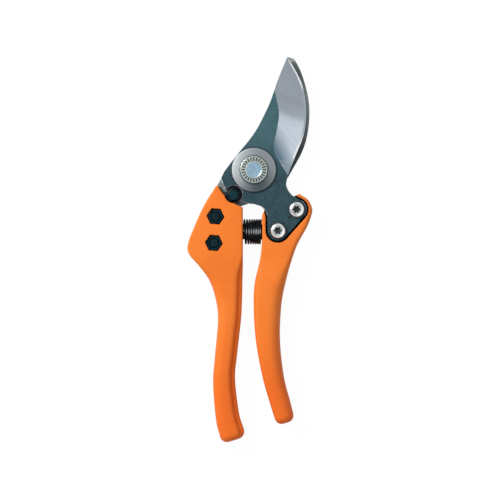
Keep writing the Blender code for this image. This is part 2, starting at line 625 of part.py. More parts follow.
def make_lock(black, steel):
    """Catch, with its origin on the pin that holds it to the counter-blade."""
    pin = lock_pin_place()
    bm = prism(lock_outline(), BLADE_Z, LOCK_TOP)
    crown = [e for e in bm.edges if all(v.co.z > BLADE_TOP for v in e.verts)]
    bmesh.ops.bevel(bm, geom=crown, offset=LOCK_CROWN, segments=2, affect='EDGES')
    catch = add_object("lock_catch", bm, black)
    catch.location = (*pin, 0.0)
    bore("lock eye", pin, LOCK_PIN_RADIUS + GAP, catch, 20)
    seat = COUNTER_Z - GAP
    profile = [(0.0, LOCK_TOP), (LOCK_PIN_RADIUS, LOCK_TOP), (LOCK_PIN_RADIUS, seat),
               (LOCK_PIN_HEAD_RADIUS, seat), (LOCK_PIN_HEAD_RADIUS, seat - LOCK_PIN_HEAD_HEIGHT),
               (0.0, seat - LOCK_PIN_HEAD_HEIGHT)]
    add_object("lock_pin", turned(profile, pin, steps=20), steel)


def make_spring(start, end, finish):
    """Coil along X between the seats, its wire ends standing square on them."""
    radius = SPRING_RADIUS - SPRING_WIRE / 2
    low = start + GAP + SPRING_WIRE
    high = end - GAP - SPRING_WIRE
    turns = math.floor(2 * (high - low) / (SPRING_WIRE + SPRING_COIL_GAP)) / 2
    count = round(turns * CURL_POINTS)
    coil = []
    for i in range(count + 1):
        turn = 2 * math.pi * i / CURL_POINTS
        coil.append(Vector((low + (high - low) * i / count, SPRING_Y + radius * math.sin(turn),
                            SPRING_Z + radius * math.cos(turn))))
    route = [coil[0] - Vector((SPRING_WIRE, 0.0, 0.0))] + coil + [coil[-1] + Vector((SPRING_WIRE, 0.0, 0.0))]
    line = bpy.data.curves.new("handle_spring", 'CURVE')
    line.dimensions = '3D'
    line.bevel_depth = SPRING_WIRE / 2
    line.bevel_resolution = 1
    line.use_fill_caps = True
    path = line.splines.new('POLY')
    path.points.add(len(route) - 1)
    for point, spot in zip(path.points, route):
        point.co = (*spot, 1.0)
    spring = bpy.data.objects.new("handle_spring", line)
    bpy.context.collection.objects.link(spring)
    line.materials.append(finish)
    away = CURL_POINTS // 2
    least = min((a - b).length for i, a in enumerate(coil) for b in coil[i + away:])
    print(f"handle_spring: {turns} turns, least gap {1000 * (least - SPRING_WIRE):.2f} mm")


def build():
    remove_all()
    orange = material("orange moulding", (0.92, 0.24, 0.04), 0.42)
    blade_steel = material("dark blade steel", (0.10, 0.14, 0.16), 0.38, 0.9)
    bright = material("turned steel", (0.55, 0.57, 0.58), 0.30, 1.0)
    zinc = material("zinc", (0.72, 0.74, 0.75), 0.25, 1.0)
    black = material("black oxide", (0.015, 0.016, 0.018), 0.45, 0.3)
    plastic = material("black plastic", (0.012, 0.014, 0.016), 0.40)
    mover = bpy.data.objects.new("blade_side", None)
    bpy.context.collection.objects.link(mover)

    make_counter_blade(blade_steel)
    left_seat = make_left_handle(orange)
    make_fasteners("left", left_screws(), COUNTER_Z, -1, LEFT_NUT_FLOOR + GAP, zinc, black, None)
    make_pivot(bright, black)
    make_lock(plastic, zinc)
    make_blade(blade_steel, mover)
    right_seat = make_right_handle(orange, mover)
    make_fasteners("right", RIGHT_SCREWS, BLADE_TOP, 1, RIGHT_NUT_CEILING - GAP - NUT_HEIGHT, zinc,
                   black, mover)
    make_spring(left_seat, right_seat, black)


build()
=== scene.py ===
# %% [markdown]
# # A bypass pruner, dressed for its portrait
# The solids of the pruner come ready made, with their sizes, places and joints. This lesson gives
# them their looks. Each step says what a piece is on the real tool, how it could be made in
# Blender, and why it is made the way it is here. All lengths are metres, +Z points at the viewer
# and +Y along the blade, with the pivot's axis through the origin.

# %% Load the solids
import json
import math

import bmesh
import bpy
from mathutils import Matrix, Vector

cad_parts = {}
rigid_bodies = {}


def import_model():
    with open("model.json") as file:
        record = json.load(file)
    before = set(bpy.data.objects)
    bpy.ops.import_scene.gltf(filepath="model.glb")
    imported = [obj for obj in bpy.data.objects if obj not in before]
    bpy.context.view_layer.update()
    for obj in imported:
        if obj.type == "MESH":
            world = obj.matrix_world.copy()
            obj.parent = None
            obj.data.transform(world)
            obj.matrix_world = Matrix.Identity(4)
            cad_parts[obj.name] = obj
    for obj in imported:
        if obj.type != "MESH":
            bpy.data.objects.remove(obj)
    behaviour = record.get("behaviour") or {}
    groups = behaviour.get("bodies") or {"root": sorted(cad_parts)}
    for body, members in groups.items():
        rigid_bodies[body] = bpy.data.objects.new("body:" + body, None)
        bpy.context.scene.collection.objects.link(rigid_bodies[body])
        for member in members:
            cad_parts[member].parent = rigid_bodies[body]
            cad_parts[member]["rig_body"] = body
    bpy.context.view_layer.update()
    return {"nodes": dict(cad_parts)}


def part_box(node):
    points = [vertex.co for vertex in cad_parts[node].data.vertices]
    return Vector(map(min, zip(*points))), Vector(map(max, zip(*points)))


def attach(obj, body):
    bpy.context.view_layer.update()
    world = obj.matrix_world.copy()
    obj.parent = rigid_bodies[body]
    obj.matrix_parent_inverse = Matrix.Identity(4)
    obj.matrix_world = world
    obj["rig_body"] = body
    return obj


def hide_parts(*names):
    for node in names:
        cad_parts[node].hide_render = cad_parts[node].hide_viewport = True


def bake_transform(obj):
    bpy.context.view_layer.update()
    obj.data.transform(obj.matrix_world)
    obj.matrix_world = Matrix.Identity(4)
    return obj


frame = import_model()
scene = bpy.context.scene

# %% [markdown]
# The heights of the plates are read from the solids, so that every dressed piece stays where its
# solid is. A box's two corners give the lowest and highest point of a node.

# %% Heights and places
SEW = 1e-6                    # points closer than this are one point
COUNTER_LOW, COUNTER_TOP = (corner.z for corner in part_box("counter_blade"))
BLADE_LOW, BLADE_TOP = (corner.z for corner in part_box("cutting_blade"))
LEFT_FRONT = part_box("left_handle")[1].z
ABOVE = 2 * LEFT_FRONT        # a height that is clear of the whole tool
CATCH_NOSE = (-0.0112, -0.0136)  # where the catch's nose rests in its notch
NOSE_TOP = (-0.0117, -0.0142)    # the middle of the nose, left lighter by the painted shade round it


def middle(node):
    """Where the upright axis of a round node stands."""
    low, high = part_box(node)
    return ((low.x + high.x) / 2, (low.y + high.y) / 2)


print(f"counter-blade {COUNTER_LOW:.4f} to {COUNTER_TOP:.4f}, blade {BLADE_LOW:.4f} to {BLADE_TOP:.4f}")

# %% [markdown]
# ## Tools for lines and meshes
# A few points and a smooth curve through them describe an outline better than many points. The
# curve here is a Catmull-Rom spline, because it goes through the points that it is given.

# %% Lines
def curve(points, steps):
    """Points of a smooth curve through a few given points."""
    line = [Vector(p) for p in points]
    line = [2 * line[0] - line[1]] + line + [2 * line[-1] - line[-2]]
    made = []
    for a, b, c, d in zip(line, line[1:], line[2:], line[3:]):
        for i in range(steps):
            t = i / steps
            bend = (2 * a - 5 * b + 4 * c - d) * t ** 2 + (3 * b - a - 3 * c + d) * t ** 3
            made.append(b + 0.5 * ((c - a) * t + bend))
    return made + [line[-2]]


def polar(radius, degrees, centre=(0.0, 0.0)):
    turn = math.radians(degrees)
    return (centre[0] + radius * math.cos(turn), centre[1] + radius * math.sin(turn))


def arc(centre, radius, start, end, steps):
    return [polar(radius, start + (end - start) * i / steps, centre) for i in range(steps + 1)]


def circle(centre, radius, steps):
    return arc(centre, radius, 0.0, 360.0, steps)[:-1]


def quarter(steps):
    """The angles of a quarter turn, in radians."""
    return [math.radians(90.0 * k / steps) for k in range(steps + 1)]


def softened(points, radius, steps=3):
    """A line with the corners between its ends drawn round."""
    made = [points[0]]
    for a, p, b in zip(points, points[1:], points[2:]):
        a, p, b = Vector(a), Vector(p), Vector(b)
        start = p + (a - p).normalized() * min(radius, (a - p).length / 2)
        end = p + (b - p).normalized() * min(radius, (b - p).length / 2)
        for i in range(steps + 1):
            t = i / steps
            made.append(tuple(start * (1 - t) ** 2 + 2 * p * t * (1 - t) + end * t ** 2))
    return made + [points[-1]]


def grown(outline, distance):
    """A closed outline, anticlockwise, moved outwards."""
    made = []
    for i, point in enumerate(outline):
        before = (Vector(point) - Vector(outline[i - 1])).normalized()
        after = (Vector(outline[(i + 1) % len(outline)]) - Vector(point)).normalized()
        way = (before + after).normalized()
        made.append((point[0] + way.y * distance, point[1] - way.x * distance))
    return made


def ease(value, start, end):
    """Smooth step from 0 to 1 as a value goes from start to end."""
    t = min(max((value - start) / (end - start), 0.0), 1.0)
    return t * t * (3.0 - 2.0 * t)


print("curve tools are ready")

# %% [markdown]
# Meshes are made with bmesh, which builds and joins faces directly. Two makers do most of the
# work: one turns a profile on a lathe, the other pulls an outline up through several heights, each
# with its own growth, so that a pocket's mouth or a button's top can be eased.

# %% Meshes
def turned(profile, spot=(0.0, 0.0), steps=96):
    """A bmesh of radius and height pairs, turned about an upright axis."""
    bm = bmesh.new()
    line = [bm.verts.new((spot[0] + r, spot[1], z)) for r, z in profile]
    edges = [bm.edges.new(pair) for pair in zip(line, line[1:])]
    bmesh.ops.spin(bm, geom=line + edges, cent=(*spot, 0.0), axis=(0.0, 0.0, 1.0),
                   angle=2 * math.pi, steps=steps, use_merge=True)
    bmesh.ops.remove_doubles(bm, verts=bm.verts, dist=SEW)
    bmesh.ops.recalc_face_normals(bm, faces=bm.faces)
    return bm


def skinned(bm, loops):
    """Join loops of points by faces, and close both ends."""
    for low, high in zip(loops, loops[1:]):
        for i in range(len(low)):
            bm.faces.new((low[i - 1], low[i], high[i], high[i - 1]))
    bm.faces.new(loops[0])
    bm.faces.new(loops[-1])
    bmesh.ops.recalc_face_normals(bm, faces=bm.faces)
    return bm


def pulled(outline, levels):
    """A bmesh of an outline pulled up through levels of height and growth, closed at both ends."""
    bm = bmesh.new()
    return skinned(bm, [[bm.verts.new((x, y, height)) for x, y in grown(outline, growth)]
                        for height, growth in levels])


def merged_copy(node):
    """A bmesh of a node, its loose triangles sewn together and its flat faces joined again."""
    bm = bmesh.new()
    bm.from_mesh(frame["nodes"][node].data)
    bmesh.ops.remove_doubles(bm, verts=bm.verts, dist=SEW)
    bmesh.ops.dissolve_limit(bm, angle_limit=math.radians(0.2), verts=bm.verts, edges=bm.edges)
    return bm


def border(bm, faces):
    """For each point on the border of some faces, its neighbours along that border."""
    ways = {}
    for edge in bm.edges:
        if len(faces.intersection(edge.link_faces)) == 1:
            for a, b in (edge.verts, reversed(edge.verts)):
                ways.setdefault(a, []).append(b)
    return ways


def hexagon(flats, centre, tilt=0.0):
    return [polar(flats / math.sqrt(3.0), tilt + 60.0 * i, centre) for i in range(6)]


print("mesh tools are ready")

# %% [markdown]
# A finished piece is an object at the origin, with its place in its mesh. It rides on the body of
# the solid that it stands for. Cuts are Boolean modifiers, which are turned into plain mesh before
# the piece is dressed.

# %% Pieces
def new_object(name, bm):
    mesh = bpy.data.meshes.new(name)
    bm.to_mesh(mesh)
    bm.free()
    made = bpy.data.objects.new(name, mesh)
    scene.collection.objects.link(made)
    return made


def settle(piece):
    """Turn a piece's modifiers into plain mesh."""
    seen = bpy.context.evaluated_depsgraph_get()
    mesh = bpy.data.meshes.new_from_object(piece.evaluated_get(seen), depsgraph=seen)
    piece.modifiers.clear()
    piece.data = mesh


def carve(piece, tools, operation='DIFFERENCE'):
    """Cut bmeshes out of a piece, join them on, or keep what they share with it."""
    guides = [new_object("guide", bm) for bm in tools]
    for guide in guides:
        step = piece.modifiers.new("carve", 'BOOLEAN')
        step.operation = operation
        step.object = guide
        step.solver = 'EXACT'
    settle(piece)
    for guide in guides:
        bpy.data.objects.remove(guide)


def mark(piece, finish, chosen):
    """Give faces whose corners are all chosen another of the piece's finishes, by number."""
    points = piece.data.vertices
    for face in piece.data.polygons:
        if all(chosen(points[i].co, face.normal) for i in face.vertices):
            face.material_index = finish


def dress(piece, node, slot, *finishes, smooth=30.0):
    """Let a piece stand for a node: its finish, its shading and its body. The slot is not used."""
    kept = piece.data.materials
    for i, finish in enumerate(finishes):
        if i < len(kept):
            kept[i] = finish
        else:
            kept.append(finish)
    piece.data.shade_smooth()
    piece.data.set_sharp_from_angle(angle=math.radians(smooth))
    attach(piece, frame["nodes"][node]["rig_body"])
    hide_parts(node)
    print(f"{piece.name}: {len(piece.data.polygons)} faces for {node}")
    return piece


print("piece tools are ready")

# %% [markdown]
# ## Finishes
# Every finish is a Principled shader with patterns on Object coordinates, so that it needs no
# images and moves with its piece. A small helper makes a node, sets its inputs, links them and
# gives back an output, so that nodes can be written one inside the other.

# %% Node helper
def node(tree, kind, *values, out=0, **named):
    """An output of a new node. Names with a capital are its inputs, the others its settings."""
    made = tree.nodes.new(kind)
    sockets = []
    for name, value in named.items():
        if name[0].isupper():
            sockets.append((made.inputs[name.replace("_", " ")], value))
        else:
            setattr(made, name, value)
    for socket, value in [*zip(made.inputs, values), *sockets]:
        if isinstance(value, bpy.types.NodeSocket):
            tree.links.new(value, socket)
        elif value is not None:
            socket.default_value = (*value, 1.0) if socket.type == 'RGBA' else value
    return made.outputs if out is None else made.outputs[out]


def maths(tree, operation, *values):
    return node(tree, "ShaderNodeMath", *values, operation=operation)


def vectors(tree, operation, *values, out=0):
    return node(tree, "ShaderNodeVectorMath", *values, operation=operation, out=out)


def ranged(tree, value, low, high, start=0.0, end=1.0):
    """A value between start and end, spread anew between low and high."""
    return node(tree, "ShaderNodeMapRange", value, start, end, low, high)


def over(tree, mask, under, upper):
    """One colour laid over another by a mask, each a socket or plain."""
    return node(tree, "ShaderNodeMix", mask, *[None] * 5, under, upper, data_type='RGBA', out=2)


def position(tree):
    return node(tree, "ShaderNodeTexCoord", out="Object")


def shader_group(name, sizes, outputs):
    """An empty shader group with named sizes and outputs."""
    tree = bpy.data.node_groups.new(name, "ShaderNodeTree")
    for label, value in sizes.items():
        made = tree.interface.new_socket(label, in_out='INPUT', socket_type="NodeSocketFloat")
        made.default_value = value
    for label in outputs:
        tree.interface.new_socket(label, in_out='OUTPUT', socket_type="NodeSocketFloat")
    outs = tree.nodes.new("NodeGroupOutput")
    return tree, node(tree, "NodeGroupInput", out=None), outs.inputs


print("node helpers are ready")

# %% [markdown]
# Three effects are shared. Cast and moulded surfaces have a fine grain and soft clouds of colour.
# Ground and rolled steel has lines along one direction: a noise that is stretched a hundredfold.
# Turned steel has rings about its axis, a noise of the distance from the axis alone, and a painted
# highlight that makes some sectors brighter and others darker. Blender's noise keeps near its middle,
# so each is spread out to a full mask.

# %% Shared effects
ACROSS = (1.0, 1.0, 0.0)      # what keeps a place's X and Y alone
NOISE_LOW, NOISE_HIGH = 0.3, 0.7
PAINTED_SHINE, PAINTED_SHINE_ONCE, PAINTED_SHINE_TWICE = 0.44, 0.36, 0.19  # a turned face's mean painted shine, and its waves


def spread(tree, noise):
    return ranged(tree, noise, 0.0, 1.0, NOISE_LOW, NOISE_HIGH)


def grain_group():
    sizes = {"Grain Size": 0.0003, "Cloud Size": 0.02}
    tree, ins, outs = shader_group("grain and clouds", sizes, ("Grain", "Cloud"))
    for label, detail in (("Grain", 2.0), ("Cloud", 3.0)):
        scale = maths(tree, 'DIVIDE', 1.0, ins[f"{label} Size"])
        noise = node(tree, "ShaderNodeTexNoise", Vector=position(tree), Scale=scale, Detail=detail)
        tree.links.new(spread(tree, noise), outs[label])
    return tree


def line_group():
    sizes = {"Turn": 0.0, "Pitch": 0.0002, "Length": 0.02}
    tree, ins, outs = shader_group("ground lines", sizes, ("Lines",))
    turn = node(tree, "ShaderNodeCombineXYZ", Z=ins["Turn"])
    spun = node(tree, "ShaderNodeVectorRotate", rotation_type='EULER_XYZ', Vector=position(tree),
                Rotation=turn)
    narrow, long = (maths(tree, 'DIVIDE', 1.0, ins[size]) for size in ("Pitch", "Length"))
    laid = vectors(tree, 'MULTIPLY', spun, node(tree, "ShaderNodeCombineXYZ", narrow, long, long))
    noise = node(tree, "ShaderNodeTexNoise", Vector=laid, Scale=1.0, Detail=4.0, Roughness=0.65)
    tree.links.new(spread(tree, noise), outs["Lines"])
    return tree


def ring_group():
    sizes = {"Pitch": 0.0003, "Sweep Turn": 0.0}
    tree, ins, outs = shader_group("turned rings", sizes, ("Rings", "Sweep"))
    flat = vectors(tree, 'MULTIPLY', position(tree), ACROSS)
    count = maths(tree, 'DIVIDE', vectors(tree, 'LENGTH', flat, out="Value"), ins["Pitch"])
    noise = node(tree, "ShaderNodeTexNoise", noise_dimensions='1D', W=count, Scale=1.0, Detail=3.0)
    tree.links.new(spread(tree, noise), outs["Rings"])
    # Painted highlight: some sectors of a turned face are brighter, others darker.
    apart = node(tree, "ShaderNodeSeparateXYZ", flat, out=None)
    angle = maths(tree, 'ARCTAN2', apart["Y"], apart["X"])
    once = maths(tree, 'COSINE', maths(tree, 'SUBTRACT', angle, ins["Sweep Turn"]))
    twice = maths(tree, 'COSINE', maths(tree, 'MULTIPLY', angle, 2.0))
    waves = maths(tree, 'MULTIPLY_ADD', twice, PAINTED_SHINE_TWICE, PAINTED_SHINE)
    tree.links.new(maths(tree, 'MULTIPLY_ADD', once, PAINTED_SHINE_ONCE, waves), outs["Sweep"])
    return tree


GRAIN = grain_group()
LINES = line_group()
RINGS = ring_group()


def effect(tree, group, **sizes):
    """Place a shared effect in a material, with its own sizes."""
    return node(tree, "ShaderNodeGroup", node_tree=group, out=None, **sizes)


def mixed(tree, first, share, second):
    """Two masks added, the first with a share of the whole."""
    return maths(tree, 'MULTIPLY_ADD', first, share, maths(tree, 'MULTIPLY', second, 1.0 - share))


def near(tree, centre, full, none, most):
    """A mask that falls off with the distance from an upright axis."""
    flat = vectors(tree, 'MULTIPLY', position(tree), ACROSS)
    away = vectors(tree, 'DISTANCE', flat, (*centre, 0.0), out="Value")
    return ranged(tree, away, most, 0.0, full, none)


def along(tree, way, none, full, most=1.0):
    """A mask that rises along a direction, from one distance to another."""
    reach = vectors(tree, 'DOT_PRODUCT', position(tree), way, out="Value")
    return ranged(tree, reach, 0.0, most, none, full)


print("shared effects:", GRAIN.name + ",", LINES.name + ",", RINGS.name)

# %% [markdown]
# All materials are made alike. A pattern gives three masks: one mixes the two colours, one mixes
# the two roughnesses, and one is the height of the bump. Marks then lay other colours over some
# places. Values that are the same all over are set on the shader's own sockets.

# %% Surface
def material(name, dark, light, smooth, rough, pattern, depth, metallic=0.0, specular=0.5, marks=None):
    """A material of two colours and two roughnesses, mixed and bumped by the masks of a pattern."""
    made = bpy.data.materials.new(name)
    made.use_nodes = True
    tree = made.node_tree
    shader = tree.nodes["Principled BSDF"].inputs
    shader["Metallic"].default_value = metallic
    shader["Specular IOR Level"].default_value = specular
    tint, rub, height = pattern(tree)
    colour = over(tree, tint, dark, light)
    if marks:
        colour = marks(tree, colour, shader)
    bump = node(tree, "ShaderNodeBump", Strength=1.0, Distance=depth, Height=height)
    tree.links.new(colour, shader["Base Color"])
    tree.links.new(ranged(tree, rub, smooth, rough), shader["Roughness"])
    tree.links.new(bump, shader["Normal"])
    return made


def skin(grain, cloud, rub="Grain"):
    """A pattern of clouds of colour and a fine grain."""
    def pattern(tree):
        made = effect(tree, GRAIN, Grain_Size=grain, Cloud_Size=cloud)
        return made["Cloud"], made[rub], made["Grain"]
    return pattern


print("surface tools are ready")

# %% [markdown]
# The handles are moulded in an orange nylon with a satin skin. Close up the skin has a fine spark
# grain, and the colour drifts a little where the melt flowed. Painted shade makes it deeper and
# redder towards the free ends. The catch is black, and the pockets are painted black, as painted shade.

# %% Moulded finishes
SPARK_GRAIN, SPARK_DEPTH = 0.00022, 0.00002


def ends_in_painted_shade(tree, colour, shader):
    """Painted shade: a deeper, redder colour towards the free ends of the handles."""
    return over(tree, along(tree, (0.25, -1.0, 0.0), 0.080, 0.125), colour, (0.940, 0.176, 0.022))


def catch_edge_shade(tree, colour, shader):
    """Painted shade darkens the catch round its edges and leaves the middle of its nose lighter."""
    return over(tree, near(tree, NOSE_TOP, 0.0031, 0.0023, 1.0), colour, (0.001, 0.005, 0.007))


ORANGE = material("orange_nylon", (0.900, 0.198, 0.026), (0.955, 0.240, 0.036), 0.34, 0.46,
                  skin(SPARK_GRAIN, 0.03), SPARK_DEPTH, specular=0.12, marks=ends_in_painted_shade)
# The catch carries painted shade round its edges.
BLACK_NYLON = material("black_nylon", (0.003, 0.022, 0.030), (0.008, 0.040, 0.054), 0.24, 0.38,
                       skin(SPARK_GRAIN, 0.004), SPARK_DEPTH, specular=0.12, marks=catch_edge_shade)
# Painted shade: the walls and floors of the pockets are painted black.
POCKET_SHADE = material("pocket_lining", (0.002, 0.003, 0.004), (0.005, 0.005, 0.006), 0.55, 0.75,
                  skin(SPARK_GRAIN, 0.004), SPARK_DEPTH, specular=0.2)
print("moulded:", ORANGE.name, BLACK_NYLON.name, POCKET_SHADE.name)

# %% [markdown]
# The blade and the counter-blade carry a dark blue-grey coating over rolled steel: half metal, half
# coat, with faint rolling lines. Cuts wipe it paler up the blade. The ground face of the blade is
# bare steel, with the lines of the grinding belt along it, a painted reflection that darkens the back
# of its heel blue, and a dull end. Its honed edge carries a painted highlight, bright towards the tip
# and the heel and dimmer between them. The broken edges of the plates and the tip of the hook are
# worn bright. Painted shade darkens the hook near its tip and the counter-blade left of the hub and
# round the catch, a painted shadow rings the pivot's washer, and the hook is darker towards the
# bottom of its right side.

# %% Steel finishes
UP, DOWN = (0.0, 1.0, 0.0), (0.0, -1.0, 0.0)  # along the blade, and back
COAT_DEPTH, BELT_DEPTH = 0.000008, 0.000003


def coated(pale):
    """A pattern of rolling lines, grain and clouds, raised where the coat is pale."""
    def pattern(tree):
        made = effect(tree, GRAIN, Grain_Size=0.0006, Cloud_Size=0.006)
        rolled = effect(tree, LINES, Turn=0.5, Pitch=0.0004, Length=0.02)
        mask = mixed(tree, rolled["Lines"], 0.25, mixed(tree, made["Grain"], 0.65, made["Cloud"]))
        return maths(tree, 'MULTIPLY_ADD', mask, 0.5, pale(tree)), made["Grain"], made["Grain"]
    return pattern


def belt(tree):
    """A pattern of the grinding belt's lines over clouds, evened towards the tip."""
    lines = effect(tree, LINES, Turn=-0.75, Pitch=0.0005, Length=0.03)["Lines"]
    cloud = effect(tree, GRAIN, Grain_Size=0.0004, Cloud_Size=0.012)["Cloud"]
    mask = mixed(tree, lines, 0.6, cloud)
    even = along(tree, UP, 0.032, 0.042, 0.6)
    mask = maths(tree, 'MULTIPLY_ADD', maths(tree, 'SUBTRACT', 0.5, mask), even, mask)
    return mask, lines, lines


def wiped(tree):
    """The coat of the blade, paler where each cut wipes it."""
    return along(tree, UP, -0.006, 0.020, 0.38)


def worn_tip(tree):
    return along(tree, UP, 0.056, 0.0612, 0.8)


def washer_shadow(tree, colour, shader):
    """A painted shadow round the pivot's washer."""
    return over(tree, near(tree, (0.0, 0.0), 0.0125, 0.0136, 0.8), colour, (0.003, 0.012, 0.016))


def hook_and_catch_shade(tree, colour, shader):
    """Painted shade on the outside of the hook near its tip, on the counter-blade left of the hub and
    round the catch's nose; the hook also darkens towards the bottom of its right side.
    """
    outer = along(tree, (0.92, 0.393, 0.0), 0.0428, 0.0435, 0.62)
    length = maths(tree, 'MULTIPLY', along(tree, DOWN, -0.0614, -0.0606), along(tree, UP, 0.044, 0.052))
    low = along(tree, DOWN, -0.038, -0.010, 0.92)
    side = along(tree, (1.0, 0.0, 0.0), 0.008, 0.016)
    root = along(tree, (-1.0, 0.0, 0.0), 0.010, 0.015, 0.68)
    front = along(tree, (0.0, 0.0, 1.0), COUNTER_TOP - 0.0010, COUNTER_TOP - 0.0002)
    catch_shade = maths(tree, 'MULTIPLY', front, near(tree, CATCH_NOSE, 0.0045, 0.0057, 0.9))
    darkening = maths(tree, 'MAXIMUM', catch_shade, maths(tree, 'MULTIPLY', outer, length))
    darkening = maths(tree, 'MAXIMUM', darkening, maths(tree, 'MULTIPLY_ADD', low, side, root))
    return over(tree, darkening, colour, (0.006, 0.011, 0.012))


def heel_reflection_and_dull_end(tree, colour, shader):
    """A painted reflection darkens the back of the heel blue, and the end of the heel is dull, with less
    metal.
    """
    dark_reflection = along(tree, (-0.894, -0.447, 0.0), -0.0245, -0.0165)
    dull = along(tree, DOWN, -0.0058, -0.0026)
    tree.links.new(maths(tree, 'MULTIPLY_ADD', dull, -0.8, 1.0), shader["Metallic"])
    return over(tree, dull, over(tree, dark_reflection, colour, (0.12, 0.18, 0.23)), (0.32, 0.40, 0.47))


def highlight_ends(tree, colour, shader):
    """A painted highlight on the honed edge, bright towards the tip and the heel and dimmer between them.
    """
    dim_middle = maths(tree, 'MULTIPLY', along(tree, DOWN, -0.049, -0.044), along(tree, UP, 0.014, 0.022))
    return over(tree, dim_middle, colour, (0.36, 0.41, 0.45))


# The blade's coat carries a painted shadow round the washer, and the hook's coat painted shade.
COATED = material("coated_steel", (0.000, 0.020, 0.032), (0.072, 0.176, 0.206), 0.36, 0.50,
                  coated(wiped), COAT_DEPTH, metallic=0.35, marks=washer_shadow)
HOOK_COATED = material("hook_steel", (0.095, 0.130, 0.138), (0.285, 0.320, 0.315), 0.36, 0.50,
                       coated(worn_tip), COAT_DEPTH, metallic=0.40, marks=hook_and_catch_shade)
# The ground face carries a painted reflection at its heel.
GROUND = material("ground_steel", (0.43, 0.49, 0.56), (0.65, 0.72, 0.80), 0.06, 0.12,
                  belt, BELT_DEPTH, metallic=1.0, marks=heel_reflection_and_dull_end)
WORN_EDGE = material("worn_edge", (0.46, 0.52, 0.54), (0.72, 0.78, 0.80), 0.30, 0.45,
                     belt, BELT_DEPTH, metallic=0.55)
# The honed edge carries a painted highlight.
HONED_HIGHLIGHT = material("honed_edge", (0.86, 0.89, 0.92), (0.97, 0.98, 1.00), 0.20, 0.34,
                 belt, BELT_DEPTH, metallic=0.20, marks=highlight_ends)
print("steel:", COATED.name, HOOK_COATED.name, GROUND.name, WORN_EDGE.name, HONED_HIGHLIGHT.name)

# %% [markdown]
# The washer and the head of the pivot bolt are turned on a lathe, and show rings, with a painted
# highlight in some sectors. The screws are zinc plated, bright and a little cloudy, and the bolt's
# sunk face has a blue tint. The washers under the front screws are painted near black, as painted
# shade. Nuts are blackened, the spring is lacquered black with painted glints on its turns, and
# recesses are painted dark, as painted shade.

# %% Fastener finishes
BLACK_SKIN = skin(0.0003, 0.003)
ZINC_SKIN, FACE_SKIN = skin(0.0005, 0.0018, "Cloud"), skin(0.0005, 0.0012, "Cloud")
BRIGHT_DEPTH = 0.000006
PAINTED_SHINE_TURN = 2.52             # radians, the sector of turned steel with the brightest painted highlight
GLINT_DEPTH = 0.0004            # how far down the painted glints reach on the spring's turns
SPRING_LOW, SPRING_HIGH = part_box("handle_spring")


def lathe(pitch, share):
    """A pattern of turned rings, with the share that the painted highlight of the sectors has."""
    def pattern(tree):
        cut = effect(tree, RINGS, Pitch=pitch, Sweep_Turn=PAINTED_SHINE_TURN)
        return mixed(tree, cut["Sweep"], share, cut["Rings"]), cut["Rings"], cut["Rings"]
    return pattern


def bright(name, dark, light, smooth, rough, pattern):
    """Bare or plated metal."""
    return material(name, dark, light, smooth, rough, pattern, BRIGHT_DEPTH, metallic=1.0)


def blackened(name, dark, light, smooth, rough, specular, marks=None):
    """Metal under a black skin."""
    return material(name, dark, light, smooth, rough, BLACK_SKIN, COAT_DEPTH, 0.0, specular, marks)


def painted_glints(tree, colour, shader):
    """Painted glints: the foremost parts of the spring's turns are painted pale, as highlights."""
    proud = along(tree, (0.0, 0.0, 1.0), SPRING_HIGH.z - GLINT_DEPTH, SPRING_HIGH.z)
    thin = ranged(tree, BLACK_SKIN(tree)[0], 0.2, 1.0)
    return over(tree, maths(tree, 'MULTIPLY', proud, thin), colour, (0.62, 0.68, 0.70))


# The turned washer and bolt carry the rings' painted highlight.
TURNED = bright("turned_washer", (0.005, 0.035, 0.050), (0.90, 0.95, 0.98), 0.24, 0.40,
                lathe(0.00022, 0.75))
BOLT_STEEL = bright("turned_bolt", (0.38, 0.44, 0.42), (0.74, 0.80, 0.76), 0.24, 0.40,
                    lathe(0.00030, 0.4))
BLUE_ZINC = bright("blue_zinc", (0.39, 0.61, 0.79), (0.48, 0.70, 0.88), 0.26, 0.34, FACE_SKIN)
ZINC = bright("bright_zinc", (0.66, 0.69, 0.70), (0.90, 0.91, 0.91), 0.10, 0.24, ZINC_SKIN)
# Painted shade: the washers under the front screws are near black.
WASHER_SHADE_ZINC = bright("dull_zinc", (0.03, 0.05, 0.06), (0.11, 0.13, 0.14), 0.30, 0.42, ZINC_SKIN)
BLACK_OXIDE = blackened("blackened_steel", (0.001, 0.012, 0.018), (0.006, 0.024, 0.034), 0.34, 0.50,
                        0.10)
# The spring's lacquer carries painted glints on its turns.
LACQUER = blackened("spring_lacquer", (0.002, 0.003, 0.004), (0.005, 0.008, 0.010), 0.16, 0.24,
                    0.12, painted_glints)
# Painted shade: recesses, dimples and the side of the bolt's head are painted dark.
RECESS_PAINTED_SHADE = blackened("oiled_recess", (0.008, 0.014, 0.016), (0.050, 0.074, 0.078), 0.35, 0.55, 0.2)
print("bright:", TURNED.name, BOLT_STEEL.name, BLUE_ZINC.name, ZINC.name, WASHER_SHADE_ZINC.name)
print("black:", BLACK_OXIDE.name, LACQUER.name, RECESS_PAINTED_SHADE.name)

# %% [markdown]
# ## Cutting blade
# The blade is one steel plate: point, hub and tang. Its outline is already in the solid, so a sewn
# copy of the solid is the best start. The spine above the hub is drawn in a little. The ground face
# is laid anew with rungs that lean towards the edge, as a belt grinds it. The border of the old face
# is split where the rungs end, so that the outline stays as it is.

